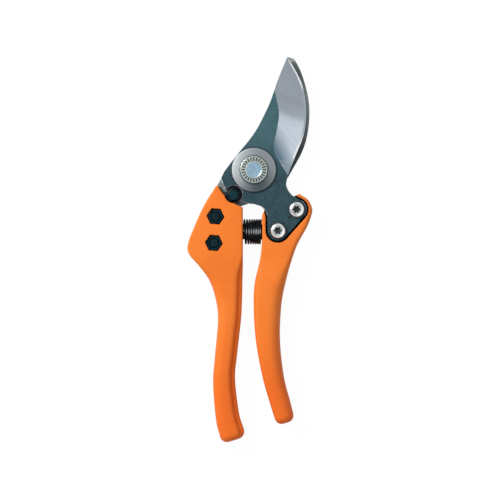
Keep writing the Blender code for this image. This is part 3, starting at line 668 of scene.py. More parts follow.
# %% Ground face
STEEP, LEVEL = 0.3, 0.9997    # sloping faces look up more than the one and less than the other
EDGE_TOP = BLADE_LOW + 0.0003
WORN_WIDTH = 0.0004           # the front rim of the hub and the tang is broken by this much
RUNGS, CLOSE = 24, 0.05       # a rung that ends this close to a point, as a share, uses that point
RUNG_FALL = 0.0110            # fall of the rungs towards the edge, at the middle of the face
HOLLOW, HOLLOW_FROM, HOLLOW_TO = 0.0009, -0.006, 0.034  # how far the spine is drawn in, and where
SPINE_LEAN, SPINE_SIDE = 0.78, 0.0140  # a line beside the spine


def ground_faces(bm):
    """Faces that slope down to the cutting edge."""
    rim = BLADE_TOP - 2 * WORN_WIDTH
    return [f for f in bm.faces if STEEP < f.normal.z < LEVEL and min(v.co.z for v in f.verts) < rim]


def stations(bm, line, heights):
    """Points of a line at the given heights along Y, made by splitting its edges."""
    made = []
    for height in heights:
        k = max(i for i, v in enumerate(line[:-1]) if v.co.y <= height + SEW)
        low, high = line[k], line[k + 1]
        share = (height - low.co.y) / (high.co.y - low.co.y)
        if share < CLOSE and low not in made:
            made.append(low)
        else:
            _, spot = bmesh.utils.edge_split(bm.edges.get((low, high)), low, share)
            line.insert(k + 1, spot)
            made.append(spot)
    return made


def rims(bm, ground):
    """The back and the cutting edge of the ground face, each from the heel to the tip."""
    ways = border(bm, ground)
    heel = min((v for v in ways if v.co.z < EDGE_TOP + SEW), key=lambda v: v.co.y)
    tip = max(ways, key=lambda v: v.co.y)
    back, edge = [heel, max(ways[heel], key=lambda v: v.co.z)], [heel]
    for line in (back, edge):
        while line[-1] is not tip:
            line.append(next(v for v in ways[line[-1]]
                             if v not in back + edge or v is tip and len(line) > 2))
    return back[1:], edge


def draw_in(bm):
    """Draw the spine above the hub in a little, where the plate is forged hollow."""
    for v in bm.verts:
        share = (v.co.y - HOLLOW_FROM) / (HOLLOW_TO - HOLLOW_FROM)
        if 0.0 < share < 1.0 and v.co.x < SPINE_LEAN * v.co.y - SPINE_SIDE:
            v.co.x += HOLLOW * math.sin(math.pi * share) ** 2


def regrind(bm):
    """Lay the ground face anew, with rungs that lean down towards the cutting edge."""
    ground = set(ground_faces(bm))
    back, edge = rims(bm, ground)
    heel, tip = edge[0], edge[-1]
    span = tip.co.y - heel.co.y
    levels = [heel.co.y + span * i / RUNGS for i in range(1, RUNGS)]
    falls = [y - RUNG_FALL * math.sin(math.pi * (y - heel.co.y) / span) for y in levels]
    rungs = list(zip(stations(bm, back, levels), stations(bm, edge, falls)))
    bmesh.ops.delete(bm, geom=ground_faces(bm), context='FACES_ONLY')
    rungs = [(back[0], heel)] + rungs + [(tip, tip)]
    for (a, c), (b, d) in zip(rungs, rungs[1:]):
        behind = back[back.index(a):back.index(b) + 1]
        before = edge[edge.index(c):edge.index(d) + 1]
        bm.faces.new(before + [v for v in reversed(behind) if v not in before])
    bmesh.ops.recalc_face_normals(bm, faces=bm.faces)
    bm.normal_update()


print(f"ground face: {RUNGS} rungs from {BLADE_TOP:.4f} down to {EDGE_TOP:.4f}")

# %% [markdown]
# The solid's rims are sharp, so those of the hub and the tang are broken. The honed edge is a narrow
# steeper face along the cutting edge: each rung is split near the edge, and the new points are
# joined and lifted a little. Two small centre-punch dimples mark the tang.

# %% Cutting blade
SHARP = 1.0                   # radians between the sides of a sharp edge
BROKEN = 0.97                 # broken edges look up less than this
WORN_START, WORN_END = -0.0048, -0.031  # the rim is broken below the one, and handles cover the other
GROUND_END = -0.01            # no ground face is below this Y
SCREW_RADIUS = 0.0024
HONE_WIDTH, HONE_LIFT, HONE_REACH = 0.0012, 0.00012, 0.00040
DIMPLES = [((0.0201, -0.0271), 0.0011), ((0.0170, -0.0302), 0.0007)]


def wear(bm):
    """Break the front rim of the hub and the tang where the solid leaves it sharp, but no bore's."""
    bores = [Vector(middle(n)) for n in ("pivot_bolt", "right_screw_upper", "right_screw_lower")]
    rim = [e for e in bm.edges if all(v.co.z > BLADE_TOP - SEW and v.co.y < WORN_START for v in e.verts)
           and e.calc_face_angle(0.0) > SHARP
           and all((e.verts[0].co.xy - at).length > 2 * SCREW_RADIUS for at in bores)]
    bmesh.ops.bevel(bm, geom=rim, offset=WORN_WIDTH, segments=1, affect='EDGES', clamp_overlap=False)
    bm.normal_update()


def hone(bm):
    """Split the ground face along its edge and lift the split, so that the edge is steeper."""
    ground = set(ground_faces(bm))
    split = []
    for rung in [e for e in bm.edges if len(e.link_faces) == 2 and set(e.link_faces) <= ground]:
        edge_end = min(rung.verts, key=lambda v: v.co.z)
        if rung.calc_length() > 2 * HONE_WIDTH:
            _, spot = bmesh.utils.edge_split(rung, edge_end, HONE_WIDTH / rung.calc_length())
            spot.co.z += HONE_LIFT
            split.append(spot)
    tip = max((v for f in ground for v in f.verts), key=lambda v: v.co.y)
    print(f"tip of the edge at height {tip.co.z:.4f}, edge at {EDGE_TOP:.4f}")
    bmesh.ops.connect_verts(bm, verts=split + [tip])
    bm.normal_update()


def dimple(spot, radius):
    """A shallow turned cutter."""
    bowl = [(0.0, BLADE_TOP - radius / 2), (radius * 0.6, BLADE_TOP - radius / 2.6), (radius, BLADE_TOP)]
    return turned(bowl + [(radius, ABOVE), (0.0, ABOVE)], spot, 24)


def is_ground(spot, way):
    return STEEP < way.z < LEVEL and spot.y > GROUND_END


def is_worn(spot, way):
    return STEEP < way.z < BROKEN and spot.z > BLADE_TOP - 1.5 * WORN_WIDTH and spot.y > WORN_END


def is_honed(spot, way):
    return STEEP < way.z < LEVEL and spot.z < EDGE_TOP + HONE_REACH


def is_punched(spot, way):
    return way.z < LEVEL and any((spot.xy - Vector(at)).length < r + SEW for at, r in DIMPLES)


bm = merged_copy("cutting_blade")
for step in (draw_in, regrind, wear, hone):
    step(bm)
piece = new_object("blade_plate", bm)
carve(piece, [dimple(*spot) for spot in DIMPLES])
# The dimples are painted dark as painted shade, and the honed edge carries a painted highlight.
for finish, chosen in enumerate((is_ground, is_worn, is_honed, is_punched), start=1):
    mark(piece, finish, chosen)
dress(piece, "cutting_blade", "blade_steel", COATED, GROUND, WORN_EDGE, HONED_HIGHLIGHT, RECESS_PAINTED_SHADE,
      smooth=12.0)

# %% [markdown]
# ## Counter-blade
# The hook is a thicker plate behind the blade. Its edges are broken, so every sharp edge of the
# sewn copy gets a small bevel, and a larger one along the outside of the hook, where the branch
# slides in.

# %% Counter-blade
PLATE_BREAK, HOOK_ROUND = 0.00025, 0.0014
HOOK_SIDE, HOOK_ROOT = 0.0185, -0.005  # the outside of the hook is beyond this X and above this Y

bm = merged_copy("counter_blade")
outside = [e for e in bm.edges if e.calc_face_angle(0.0) > SHARP
           and all(v.co.z > COUNTER_TOP - SEW and v.co.x > HOOK_SIDE and v.co.y > HOOK_ROOT
                   for v in e.verts)]
bmesh.ops.bevel(bm, geom=outside, offset=HOOK_ROUND, segments=3, affect='EDGES', clamp_overlap=True)
sharp = [e for e in bm.edges if e.calc_face_angle(0.0) > math.radians(50.0)]
bmesh.ops.bevel(bm, geom=sharp, offset=PLATE_BREAK, segments=2, affect='EDGES', clamp_overlap=True)
dress(new_object("hook_plate", bm), "counter_blade", "blade_steel", HOOK_COATED, smooth=25.0)

# %% [markdown]
# ## Handles
# Each handle is a moulding that is flat at its head and round in the palm. It is lofted through
# section lines that run across it, from the end to the head. Each line has a point on the inner
# edge and one on the outer edge.

# %% Section lines
LEFT_INNER = -0.0062
RIGHT_INNER = 0.0045
LEFT_LINES = [
    (-0.0056, -0.1464, -0.0190, -0.1507), (-0.0084, -0.1370, -0.0214, -0.1405),
    (-0.0106, -0.1180, -0.0230, -0.1200), (-0.0094, -0.1040, -0.0219, -0.1045),
    (-0.0072, -0.0840, -0.0202, -0.0840), (-0.0066, -0.0720, -0.0217, -0.0720),
    (-0.0064, -0.0620, -0.0252, -0.0620), (LEFT_INNER, -0.0540, -0.0309, -0.0540),
    (LEFT_INNER, -0.0475, -0.0364, -0.0475), (LEFT_INNER, -0.0420, -0.0371, -0.0420),
    (LEFT_INNER, -0.0330, -0.0339, -0.0330), (LEFT_INNER, -0.0200, -0.0280, -0.0200),
    (LEFT_INNER, -0.0098, -0.0217, -0.0098),
]
RIGHT_LINES = [
    (0.0118, -0.1402, 0.0223, -0.1374), (0.0092, -0.1320, 0.0206, -0.1305),
    (0.0048, -0.1163, 0.0170, -0.1163), (0.0011, -0.0959, 0.0148, -0.0959),
    (-0.0001, -0.0770, 0.0155, -0.0770), (0.0005, -0.0640, 0.0178, -0.0640),
    (0.0034, -0.0510, 0.0213, -0.0510), (RIGHT_INNER, -0.0420, 0.0248, -0.0415),
    (RIGHT_INNER, -0.0345, 0.0301, -0.0319), (RIGHT_INNER, -0.0295, 0.03278, -0.0244),
    (0.0046, -0.0265, 0.03258, -0.0206), (0.0050, -0.0246, 0.0303, -0.0166),
    (0.0059, -0.0231, 0.0264, -0.0140),
]
print("section lines:", len(LEFT_LINES), "left,", len(RIGHT_LINES), "right")

# %% [markdown]
# A section is a rectangle with a round at each corner, drawn in a little towards its sides so that
# the palm is crowned. The rounds are small at the head and large in the palm. The left handle's
# palm has a lower ledge along its inner edge, so there its round gives way to a step. At the free
# end the sections draw in along a quarter circle, which closes the handle softly.

# %% Loft
LINE_STEPS = 9                # sections from one line to the next
ROUND_STEPS = 9               # facets of a corner's round
FLAT_STEPS = 5                # facets of a flat side
DEPTH_END, DEPTH_PALM = 0.0155, 0.0170
PALM_START, PALM_END, HEAD_START = -0.1000, -0.0680, -0.0460
END_ROUND, HEAD_ROUND = 0.0040, 0.0008
PALM_CROWN = 0.0007           # fall of the front from its middle to its sides
ROUND_SHARE = 0.49            # most of a side that one round takes
LEDGE_START, LEDGE_FULL = -0.0470, -0.0630
LEDGE = [(0.0050, 0.0), (0.0041, 0.0001), (0.0034, 0.0004), (0.0028, 0.0009), (0.0023, 0.0016),
         (0.0019, 0.0024), (0.0015, 0.0026), (0.0010, 0.0028), (0.0005, 0.0031), (0.0, 0.0038)]


def section(width, depth, inner, outer, crown, step):
    """Points round a section with its two rounds, as pairs of a distance across and a height."""
    corners = [(inner, inner, inner, 180.0), (width - outer, outer, outer, 270.0),
               (width - outer, depth - outer, outer, 0.0), (inner, depth - inner, inner, 90.0)]
    sides = [arc((s, z), r, start, start + 90.0, ROUND_STEPS) for s, z, r, start in corners]
    sides[3] = [Vector(p).lerp(Vector((s, depth - fall)), step) for p, (s, fall) in zip(sides[3], LEDGE)]
    ring = []
    for side, following in zip(sides, sides[1:] + sides[:1]):
        a, b = Vector(side[-1]), Vector(following[0])
        ring += [*side, *(a.lerp(b, i / FLAT_STEPS) for i in range(1, FLAT_STEPS))]
    share = 2 * crown / depth
    return [(s, depth / 2 + (z - depth / 2) * (1 - share * (2 * s / width - 1) ** 2)) for s, z in ring]


def rounding(line, radius, way, steps):
    """A line's sections drawn in and run on along a quarter circle."""
    return [(line, radius * (1 - math.cos(a)), way * radius * math.sin(a)) for a in quarter(steps)[1:]]


def loft(lines, head_depth, palm_edges, head_edges, way, ledge=0.0):
    """A bmesh of a handle through its section lines, with rounds for the palm and for the head."""
    rows = curve(lines, LINE_STEPS)
    rings = rounding(rows[0], END_ROUND, -way, 8)[::-1]
    rings += [(row, 0.0, 0.0) for row in rows]
    rings += rounding(rows[-1], HEAD_ROUND, way, 3)
    bm = bmesh.new()
    loops = []
    for row, inset, shift in rings:
        inner, outer = Vector(row[:2]), Vector(row[2:])
        height = (inner.y + outer.y) / 2
        head = ease(height, PALM_END, HEAD_START)
        depth = DEPTH_END + (DEPTH_PALM - DEPTH_END) * ease(height, lines[0][1], PALM_START)
        depth += (head_depth - DEPTH_PALM) * head
        width = (outer - inner).length - 2 * inset
        limit = ROUND_SHARE * min(width, depth - 2 * inset)
        rounds = (palm + (top - palm) * head for palm, top in zip(palm_edges, head_edges))
        inner_round, outer_round = (min(max(r - inset, SEW), limit) for r in rounds)
        cross = (outer - inner).normalized()
        start = inner + cross * inset + Vector((-cross.y, cross.x)) * shift
        step = ledge * (1 - ease(height, LEDGE_FULL, LEDGE_START)) * (1 - inset / END_ROUND)
        ring = section(width, depth - 2 * inset, inner_round, outer_round, PALM_CROWN * (1 - head), step)
        loops.append([bm.verts.new((*(start + cross * s), z + inset)) for s, z in ring])
    return skinned(bm, loops)


print("loft is ready")

# %% [markdown]
# The pockets follow the pieces that sit in them, so their outlines are read from the solids: the
# rim of a plate's underside, in order. A pocket's mouth is eased where it meets the surface.

# %% Outlines of the plates
def outline_of(node_name):
    """Outer outline of a plate's underside, anticlockwise."""
    bm = merged_copy(node_name)
    low = min(v.co.z for v in bm.verts)
    ways = border(bm, {f for f in bm.faces if f.normal.z < -0.99 and f.calc_center_median().z < low + SEW})
    loops = []
    while ways:
        loop = [next(iter(ways))]
        while onward := [v for v in ways.pop(loop[-1]) if v in ways]:
            loop.append(onward[0])
        loops.append([(v.co.x, v.co.y) for v in loop])
    bm.free()
    outer = max(loops, key=lambda loop: max(y for _, y in loop) - min(y for _, y in loop))
    area = sum(a[0] * b[1] - b[0] * a[1] for a, b in zip(outer, outer[1:] + outer[:1]))
    return outer if area > 0 else outer[::-1]


BLADE_OUTLINE = outline_of("cutting_blade")
COUNTER_OUTLINE = outline_of("counter_blade")
CATCH_OUTLINE = outline_of("lock_catch")
print("outline points:", len(BLADE_OUTLINE), len(COUNTER_OUTLINE), len(CATCH_OUTLINE))

# %% [markdown]
# Both handles carry a seat and a spigot for the spring, on their inner sides. A spigot is turned
# upright and then laid on its side. The seat, the spigot and the pockets are painted black, as painted
# shade.

# %% Cutters of both handles
GAP = 0.0003                  # between pieces that touch
MOUTH = 0.0004                # eased edge of a pocket
NUT_FLATS, NUT_TILT = 0.0078, -5.0
SEAT_SINK, SEAT_ROOM = 0.0003, 0.00785
SPIGOT_RADIUS, SPIGOT_TIP, SPIGOT_LENGTH = 0.0046, 0.0040, 0.0018
SPRING_Y = (SPRING_LOW.y + SPRING_HIGH.y) / 2
SPRING_Z = 0.00775


def cutter(outline, low=None, ceiling=None, front=None):
    """A cutter from a floor or the eased back, up to a ceiling or through an eased front."""
    levels = [(-GAP, MOUTH), (0.0, MOUTH), (MOUTH, 0.0)] if low is None else [(low, 0.0)]
    opened = [] if front is None else [(front - MOUTH, 0.0), (front, MOUTH), (ABOVE, MOUTH)]
    return pulled(outline, levels + (opened or [(ceiling, 0.0)]))


def pocket_shade_test(outline, floor, mouth):
    """A test for the faces of a pocket's walls and floor, below its eased mouth."""
    rim = grown(outline, SEW)
    sides = list(zip(rim, rim[1:] + rim[:1]))

    def inside(spot, way):
        if not floor - SEW < spot.z < mouth - MOUTH + SEW:
            return False
        turns = 0
        for (ax, ay), (bx, by) in sides:
            if (ay > spot.y) != (by > spot.y):
                turns += spot.x < ax + (spot.y - ay) / (by - ay) * (bx - ax)
        return turns % 2 == 1
    return inside


def bore(spot, radius=SCREW_RADIUS + GAP):
    return pulled(circle(spot, radius, 48), [(-GAP, 0.0), (ABOVE, 0.0)])


def lying(profile, x, facing):
    """A turned bmesh laid on its side, at the spring's height."""
    bm = turned(profile)
    turn = Matrix.Rotation(math.radians(90.0 * facing), 3, 'Y')
    bmesh.ops.rotate(bm, verts=bm.verts, cent=(0.0, 0.0, 0.0), matrix=turn)
    bmesh.ops.translate(bm, verts=bm.verts, vec=(x, SPRING_Y, SPRING_Z))
    return bm


def spring_seat_shade(inner, facing):
    """A test for the faces of a spring's seat and spigot, which are painted black as painted shade."""
    def sits(spot, way):
        out = facing * (spot.x - inner)
        away = math.hypot(spot.y - SPRING_Y, spot.z - SPRING_Z)
        return -SEAT_SINK - SEW < out < SPIGOT_LENGTH + SEW and away < SPIGOT_RADIUS + SEW
    return sits


def fit_handle(piece, node_name, cutters, inner, facing, shade_tests):
    """Cut a handle, set a spigot in its spring's seat, and paint the pockets, the seat and the spigot
    black, as painted shade.
    """
    end = SEAT_SINK + SPIGOT_LENGTH
    seat = [(0.0, 0.0), (SEAT_ROOM, 0.0), (SEAT_ROOM, SPIGOT_LENGTH), (0.0, SPIGOT_LENGTH)]
    peg = softened([(0.0, -GAP), (SPIGOT_RADIUS, -GAP), (SPIGOT_TIP, end), (0.0, end)], radius=0.0006)
    floor = inner - facing * SEAT_SINK
    carve(piece, cutters + [lying(seat, floor, facing)])
    carve(piece, [lying(peg, floor, facing)], 'UNION')
    for chosen in shade_tests + [spring_seat_shade(inner, facing)]:
        mark(piece, 1, chosen)
    return dress(piece, node_name, "orange_moulding", ORANGE, POCKET_SHADE)


print(f"spring seats at y {SPRING_Y:.4f}, z {SPRING_Z:.4f}")

# %% [markdown]
# The left handle is cut for the hub, for the counter-blade's tang, for the two nuts and for the
# catch, which swings in a room behind the front. The room is a fan about the catch's pin.

# %% Left handle
HUB_ROOM, NUT_ROOM = 0.0220, 0.00045
POCKET_GAP = 0.0005
LEFT_PALM, LEFT_HEAD = (0.0028, 0.0045), (0.0012, 0.0012)
CATCH_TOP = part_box("lock_catch")[1].z
PIN = middle("lock_pin")
CATCH_REACH = 0.0131          # from the pin to the far side of the swinging nose
CATCH_FAN = (-56.0, 62.0)     # degrees, from the nose swung out to the nose in its notch
NOSE_ROOM = 0.0053

piece = new_object("left_grip", loft(LEFT_LINES, LEFT_FRONT, LEFT_PALM, LEFT_HEAD, -1.0, ledge=1.0))
fan = [PIN] + arc(PIN, CATCH_REACH, *CATCH_FAN, 24)
cutters = [cutter(circle((0.0, 0.0), HUB_ROOM, 180), front=LEFT_FRONT),
           cutter(grown(COUNTER_OUTLINE, POCKET_GAP), ceiling=COUNTER_TOP + GAP),
           cutter(fan, low=COUNTER_TOP, ceiling=CATCH_TOP + POCKET_GAP),
           cutter(circle(CATCH_NOSE, NOSE_ROOM, 72), low=COUNTER_TOP + GAP, front=LEFT_FRONT)]
nut_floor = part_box("left_nut_upper")[0].z - GAP
# The nut pockets are painted black, as painted shade.
shade_tests = []
for place in ("upper", "lower"):
    spot = middle(f"left_nut_{place}")
    room = hexagon(NUT_FLATS + 2 * NUT_ROOM, spot, NUT_TILT)
    cutters += [bore(spot), cutter(room, low=nut_floor, front=LEFT_FRONT)]
    shade_tests.append(pocket_shade_test(room, nut_floor, LEFT_FRONT))
fit_handle(piece, "left_handle", cutters, LEFT_INNER, 1, shade_tests)

# %% [markdown]
# The right handle holds the blade's tang in a pocket of its front, with a narrow open gap round the
# tang, and the nuts of its screws in its back.

# %% Right handle
TANG_GAP = 0.0010
RIGHT_FRONT = BLADE_TOP + 0.0015
RIGHT_PALM, RIGHT_HEAD = (0.0026, 0.0062), (0.0012, 0.0028)

piece = new_object("right_grip", loft(RIGHT_LINES, RIGHT_FRONT, RIGHT_PALM, RIGHT_HEAD, 1.0))
room = grown(BLADE_OUTLINE, TANG_GAP)
tang_floor = BLADE_LOW - GAP
cutters = [cutter(room, low=tang_floor, front=RIGHT_FRONT)]
for place in ("upper", "lower"):
    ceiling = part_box(f"right_nut_{place}")[1].z + GAP
    spot = middle(f"right_nut_{place}")
    cutters += [bore(spot), cutter(hexagon(NUT_FLATS + 2 * GAP, spot, NUT_TILT), ceiling=ceiling)]
# The tang's pocket is painted black, as painted shade.
shade_tests = [pocket_shade_test(room, tang_floor, RIGHT_FRONT)]
fit_handle(piece, "right_handle", cutters, RIGHT_INNER, -1, shade_tests)

# %% [markdown]
# ## Spring
# A coil follows a rule, so Geometry Nodes draw it: a line is bent into a helix by the formula of a
# circle, and a round wire is swept along it. The turns stand wider apart at one end than at the
# other, as on the real spring.

# %% Geometry Nodes helpers
def geometry_tree(name, sizes):
    """A Geometry Nodes tree with a named input for each size."""
    tree = bpy.data.node_groups.new(name, "GeometryNodeTree")
    sizes = {"Geometry": "Geometry", **sizes}
    for label, kind in sizes.items():
        tree.interface.new_socket(label, in_out='INPUT', socket_type=f"NodeSocket{kind}")
    tree.interface.new_socket("Geometry", in_out='OUTPUT', socket_type="NodeSocketGeometry")
    return tree, node(tree, "NodeGroupInput", out=None)


def end_tree(tree, geometry, finish):
    """Close a tree with Realize Instances and Set Material."""
    whole = node(tree, "GeometryNodeRealizeInstances", geometry)
    painted = node(tree, "GeometryNodeSetMaterial", whole, Material=finish)
    node(tree, "NodeGroupOutput", painted, out=None)
    return tree


def cut_tree(tree, ins, cutter, finish, crossing):
    """Cut instances out of the piece, at their place, and close the tree."""
    solid = node(tree, "GeometryNodeRealizeInstances", cutter)
    moved = node(tree, "GeometryNodeTransform", solid, Translation=ins["Place"])
    cut = node(tree, "GeometryNodeMeshBoolean", operation='DIFFERENCE', solver='EXACT',
               Mesh_1=ins["Geometry"], Mesh_2=moved, Self_Intersection=crossing)
    return end_tree(tree, cut, finish)


def run_tree(piece, tree, **sizes):
    """Run a tree on a piece with its sizes set, and keep the result as plain mesh."""
    step = piece.modifiers.new("nodes", 'NODES')
    step.node_group = tree
    for item in tree.interface.items_tree:
        key = item.name.replace(" ", "_")
        if item.in_out == 'INPUT' and key in sizes:
            step[item.identifier] = sizes[key]
    settle(piece)
    finish = piece.data.materials[-1]
    piece.data.materials.clear()
    piece.data.materials.append(finish)
    return piece


print("Geometry Nodes helpers are ready")

# %% Coil tree
def coil_tree():
    sizes = {"Wire Radius": "Float", "Coil Radius": "Float", "Start": "Vector", "Length": "Float",
             "Turns": "Float", "Spread": "Float", "Points": "Int"}
    tree, ins = geometry_tree("coil spring", sizes)
    line = node(tree, "GeometryNodeCurvePrimitiveLine")
    fine = node(tree, "GeometryNodeResampleCurve", line, Count=ins["Points"])
    share = node(tree, "GeometryNodeSplineParameter", out="Factor")
    turn = maths(tree, 'MULTIPLY', maths(tree, 'MULTIPLY', share, ins["Turns"]), 2 * math.pi)
    lead = maths(tree, 'MULTIPLY', share, maths(tree, 'ADD', ins["Spread"], 1.0))
    lag = maths(tree, 'MULTIPLY', maths(tree, 'MULTIPLY', share, share), ins["Spread"])
    x = maths(tree, 'MULTIPLY', maths(tree, 'SUBTRACT', lead, lag), ins["Length"])
    y, z = (maths(tree, 'MULTIPLY', maths(tree, wave, turn), ins["Coil Radius"])
            for wave in ('SINE', 'COSINE'))
    spot = vectors(tree, 'ADD', node(tree, "ShaderNodeCombineXYZ", x, y, z), ins["Start"])
    bent = node(tree, "GeometryNodeSetPosition", fine, Position=spot)
    wire = node(tree, "GeometryNodeCurvePrimitiveCircle", Resolution=16, Radius=ins["Wire Radius"])
    swept = node(tree, "GeometryNodeCurveToMesh", bent, Profile_Curve=wire, Fill_Caps=True)
    return end_tree(tree, swept, LACQUER)


WIRE_RADIUS, POINTS_PER_TURN = 0.00055, 48
SPRING_TURNS, SPRING_SPREAD = 7.25, 0.18

coil_radius = (SPRING_HIGH.y - SPRING_LOW.y) / 2 - WIRE_RADIUS
start = SPRING_LOW.x + WIRE_RADIUS
length = SPRING_HIGH.x - WIRE_RADIUS - start
piece = new_object("coil_spring", bmesh.new())
run_tree(piece, coil_tree(), Wire_Radius=WIRE_RADIUS, Coil_Radius=coil_radius,
         Start=(start, SPRING_Y, SPRING_Z), Length=length, Turns=SPRING_TURNS, Spread=SPRING_SPREAD,
         Points=int(POINTS_PER_TURN * SPRING_TURNS))
piece.data.shade_smooth()
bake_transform(piece)
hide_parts("handle_spring")
print(f"coil_spring: {len(piece.data.polygons)} faces, {SPRING_TURNS} turns over {length:.4f}")

# %% [markdown]
# ## Screws
# The four screws have pan heads with a six-lobed recess. A turned profile makes the head and the
# shank. The recess is a ring of round lobes about a round middle, and that repeats, so Geometry
# Nodes place the lobes and cut them out of the head.

# %% Recess tree
def recess_tree(finish):
    sizes = {"Lobes": "Int", "Lobe Radius": "Float", "Lobe Ring": "Float", "Middle Radius": "Float",
             "Depth": "Float", "Place": "Vector"}
    tree, ins = geometry_tree(f"lobed recess {finish.name}", sizes)
    tall = maths(tree, 'MULTIPLY', ins["Depth"], 2.0)
    ring = node(tree, "GeometryNodeMeshCircle", ins["Lobes"], ins["Lobe Ring"])
    lobe = node(tree, "GeometryNodeMeshCylinder", Vertices=20, Radius=ins["Lobe Radius"], Depth=tall)
    core = node(tree, "GeometryNodeMeshCylinder", Vertices=36, Radius=ins["Middle Radius"], Depth=tall)
    star = node(tree, "GeometryNodeInstanceOnPoints", ring, Instance=lobe)
    both = node(tree, "GeometryNodeJoinGeometry", star)
    tree.links.new(core, both.node.inputs[0])
    return cut_tree(tree, ins, both, finish, crossing=True)


HEAD_HEIGHT, HEAD_RIM, HEAD_FLAT = 0.0026, 0.0013, 0.0022
RECESS = {"Lobes": 6, "Lobe_Radius": 0.00062, "Lobe_Ring": 0.00158, "Middle_Radius": 0.00152,
          "Depth": 0.0014}


def screw(node_name, piece_name, way, tree, finish, slot):
    """A pan-head screw with its head up or down."""
    low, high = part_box(node_name)
    spot = middle(node_name)
    radius = (high.x - low.x) / 2
    crown, tip = (high.z, low.z) if way > 0 else (low.z, high.z)
    seat = crown - way * HEAD_HEIGHT
    dome = [(HEAD_FLAT + (radius - HEAD_FLAT) * math.cos(a),
             seat + way * (HEAD_RIM + (HEAD_HEIGHT - HEAD_RIM) * math.sin(a))) for a in quarter(8)[::-1]]
    under = softened([dome[-1], (radius, seat), (SCREW_RADIUS, seat), (SCREW_RADIUS, tip), (0.0, tip)],
                     radius=0.00025)
    piece = new_object(piece_name, turned([(0.0, crown)] + dome + under[1:], spot, 64))
    run_tree(piece, tree, Place=(*spot, crown), **RECESS)
    reach = RECESS["Lobe_Ring"] + RECESS["Lobe_Radius"] + SEW

    def sunk(at, out):
        down = way * (crown - at.z)
        within = math.hypot(at.x - spot[0], at.y - spot[1]) < reach
        return within and down < RECESS["Depth"] + SEW and (down > SEW or way * out.z < 0.5)

    # The recess is painted dark, as painted shade.
    mark(piece, 1, sunk)
    return dress(piece, node_name, slot, finish, RECESS_PAINTED_SHADE)


ZINC_RECESS, BLACK_RECESS = recess_tree(ZINC), recess_tree(BLACK_OXIDE)
for place in ("upper", "lower"):
    screw(f"right_screw_{place}", f"bright_screw_{place}", 1, ZINC_RECESS, ZINC, "zinc")
    screw(f"left_screw_{place}", f"black_screw_{place}", -1, BLACK_RECESS, BLACK_OXIDE, "black_oxide")

# %% [markdown]
# ## Washers and pins
# Washers are plain turned rings with their edges broken, and the catch's pin is a turned peg with a
# flange. Their sizes come from the solids' boxes, and a lathe profile is the shortest way to both.

# %% Washers and the lock's pin
def washer(node_name, piece_name, hole, finish, slot):
    low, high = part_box(node_name)
    outer = (high.x - low.x) / 2
    profile = [(hole, low.z), (outer, low.z), (outer, high.z), (hole, high.z), (hole, low.z)]
    profile = softened(profile, (high.z - low.z) / 4)
    return dress(new_object(piece_name, turned(profile, middle(node_name))), node_name, slot, finish)


PIN_RADIUS, PIN_HEAD_HEIGHT = 0.0020, 0.0009
SHANK_RADIUS = 0.0047

# The front washers are painted near black, as painted shade.
for place in ("upper", "lower"):
    washer(f"right_washer_{place}", f"front_washer_{place}", SCREW_RADIUS + GAP, WASHER_SHADE_ZINC, "zinc")
    washer(f"left_washer_{place}", f"back_washer_{place}", SCREW_RADIUS + GAP, ZINC, "zinc")
washer("pivot_front_washer", "axle_washer", SHANK_RADIUS + GAP, TURNED, "turned_steel")
washer("pivot_rear_washer", "axle_rear_washer", SHANK_RADIUS + GAP, TURNED, "turned_steel")
low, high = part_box("lock_pin")
flange = (high.x - low.x) / 2
head = low.z + PIN_HEAD_HEIGHT
profile = softened([(0.0, high.z), (PIN_RADIUS, high.z), (PIN_RADIUS, head), (flange, head),
                    (flange, low.z), (0.0, low.z)], radius=0.0003)
dress(new_object("catch_pin", turned(profile, PIN, 48)), "lock_pin", "zinc", ZINC)

# %% [markdown]
# ## Nuts
# A hexagonal nut is a hexagon that a lathe has chamfered. A hexagonal bar is cut with a turned
# blank, and the curved edges of its corners come by themselves.

# %% Nuts
NUT_CHAMFER = 30.0            # degrees


def nut(node_name, piece_name, flats, hole, tilt=0.0):
    low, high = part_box(node_name)
    spot = middle(node_name)
    corner = flats / math.sqrt(3.0) + GAP
    slope = (corner - flats / 2) * math.tan(math.radians(NUT_CHAMFER))
    blank = turned([(hole + GAP, low.z), (flats / 2, low.z), (corner, low.z + slope),
                    (corner, high.z - slope), (flats / 2, high.z), (hole + GAP, high.z),
                    (hole, high.z - GAP), (hole, low.z + GAP), (hole + GAP, low.z)], spot, 72)
    bar = pulled(hexagon(flats, spot, tilt), [(low.z, 0.0), (high.z, 0.0)])
    piece = new_object(piece_name, bar)
    carve(piece, [blank], 'INTERSECT')
    return dress(piece, node_name, "black_oxide", BLACK_OXIDE)


PIVOT_FLATS, THREAD_RADIUS = 0.0150, 0.0040
for place in ("upper", "lower"):
    nut(f"left_nut_{place}", f"front_nut_{place}", NUT_FLATS, SCREW_RADIUS + GAP, NUT_TILT)
    nut(f"right_nut_{place}", f"back_nut_{place}", NUT_FLATS, SCREW_RADIUS + GAP, NUT_TILT)
nut("pivot_nut", "axle_nut", PIVOT_FLATS, THREAD_RADIUS + GAP)

# %% [markdown]
# ## Pivot bolt
# The bolt's round head has a raised ring about a sunk face. The ring carries plain ticks, cut by
# Geometry Nodes: a circle of points, a small bar at each, turned to point outwards.

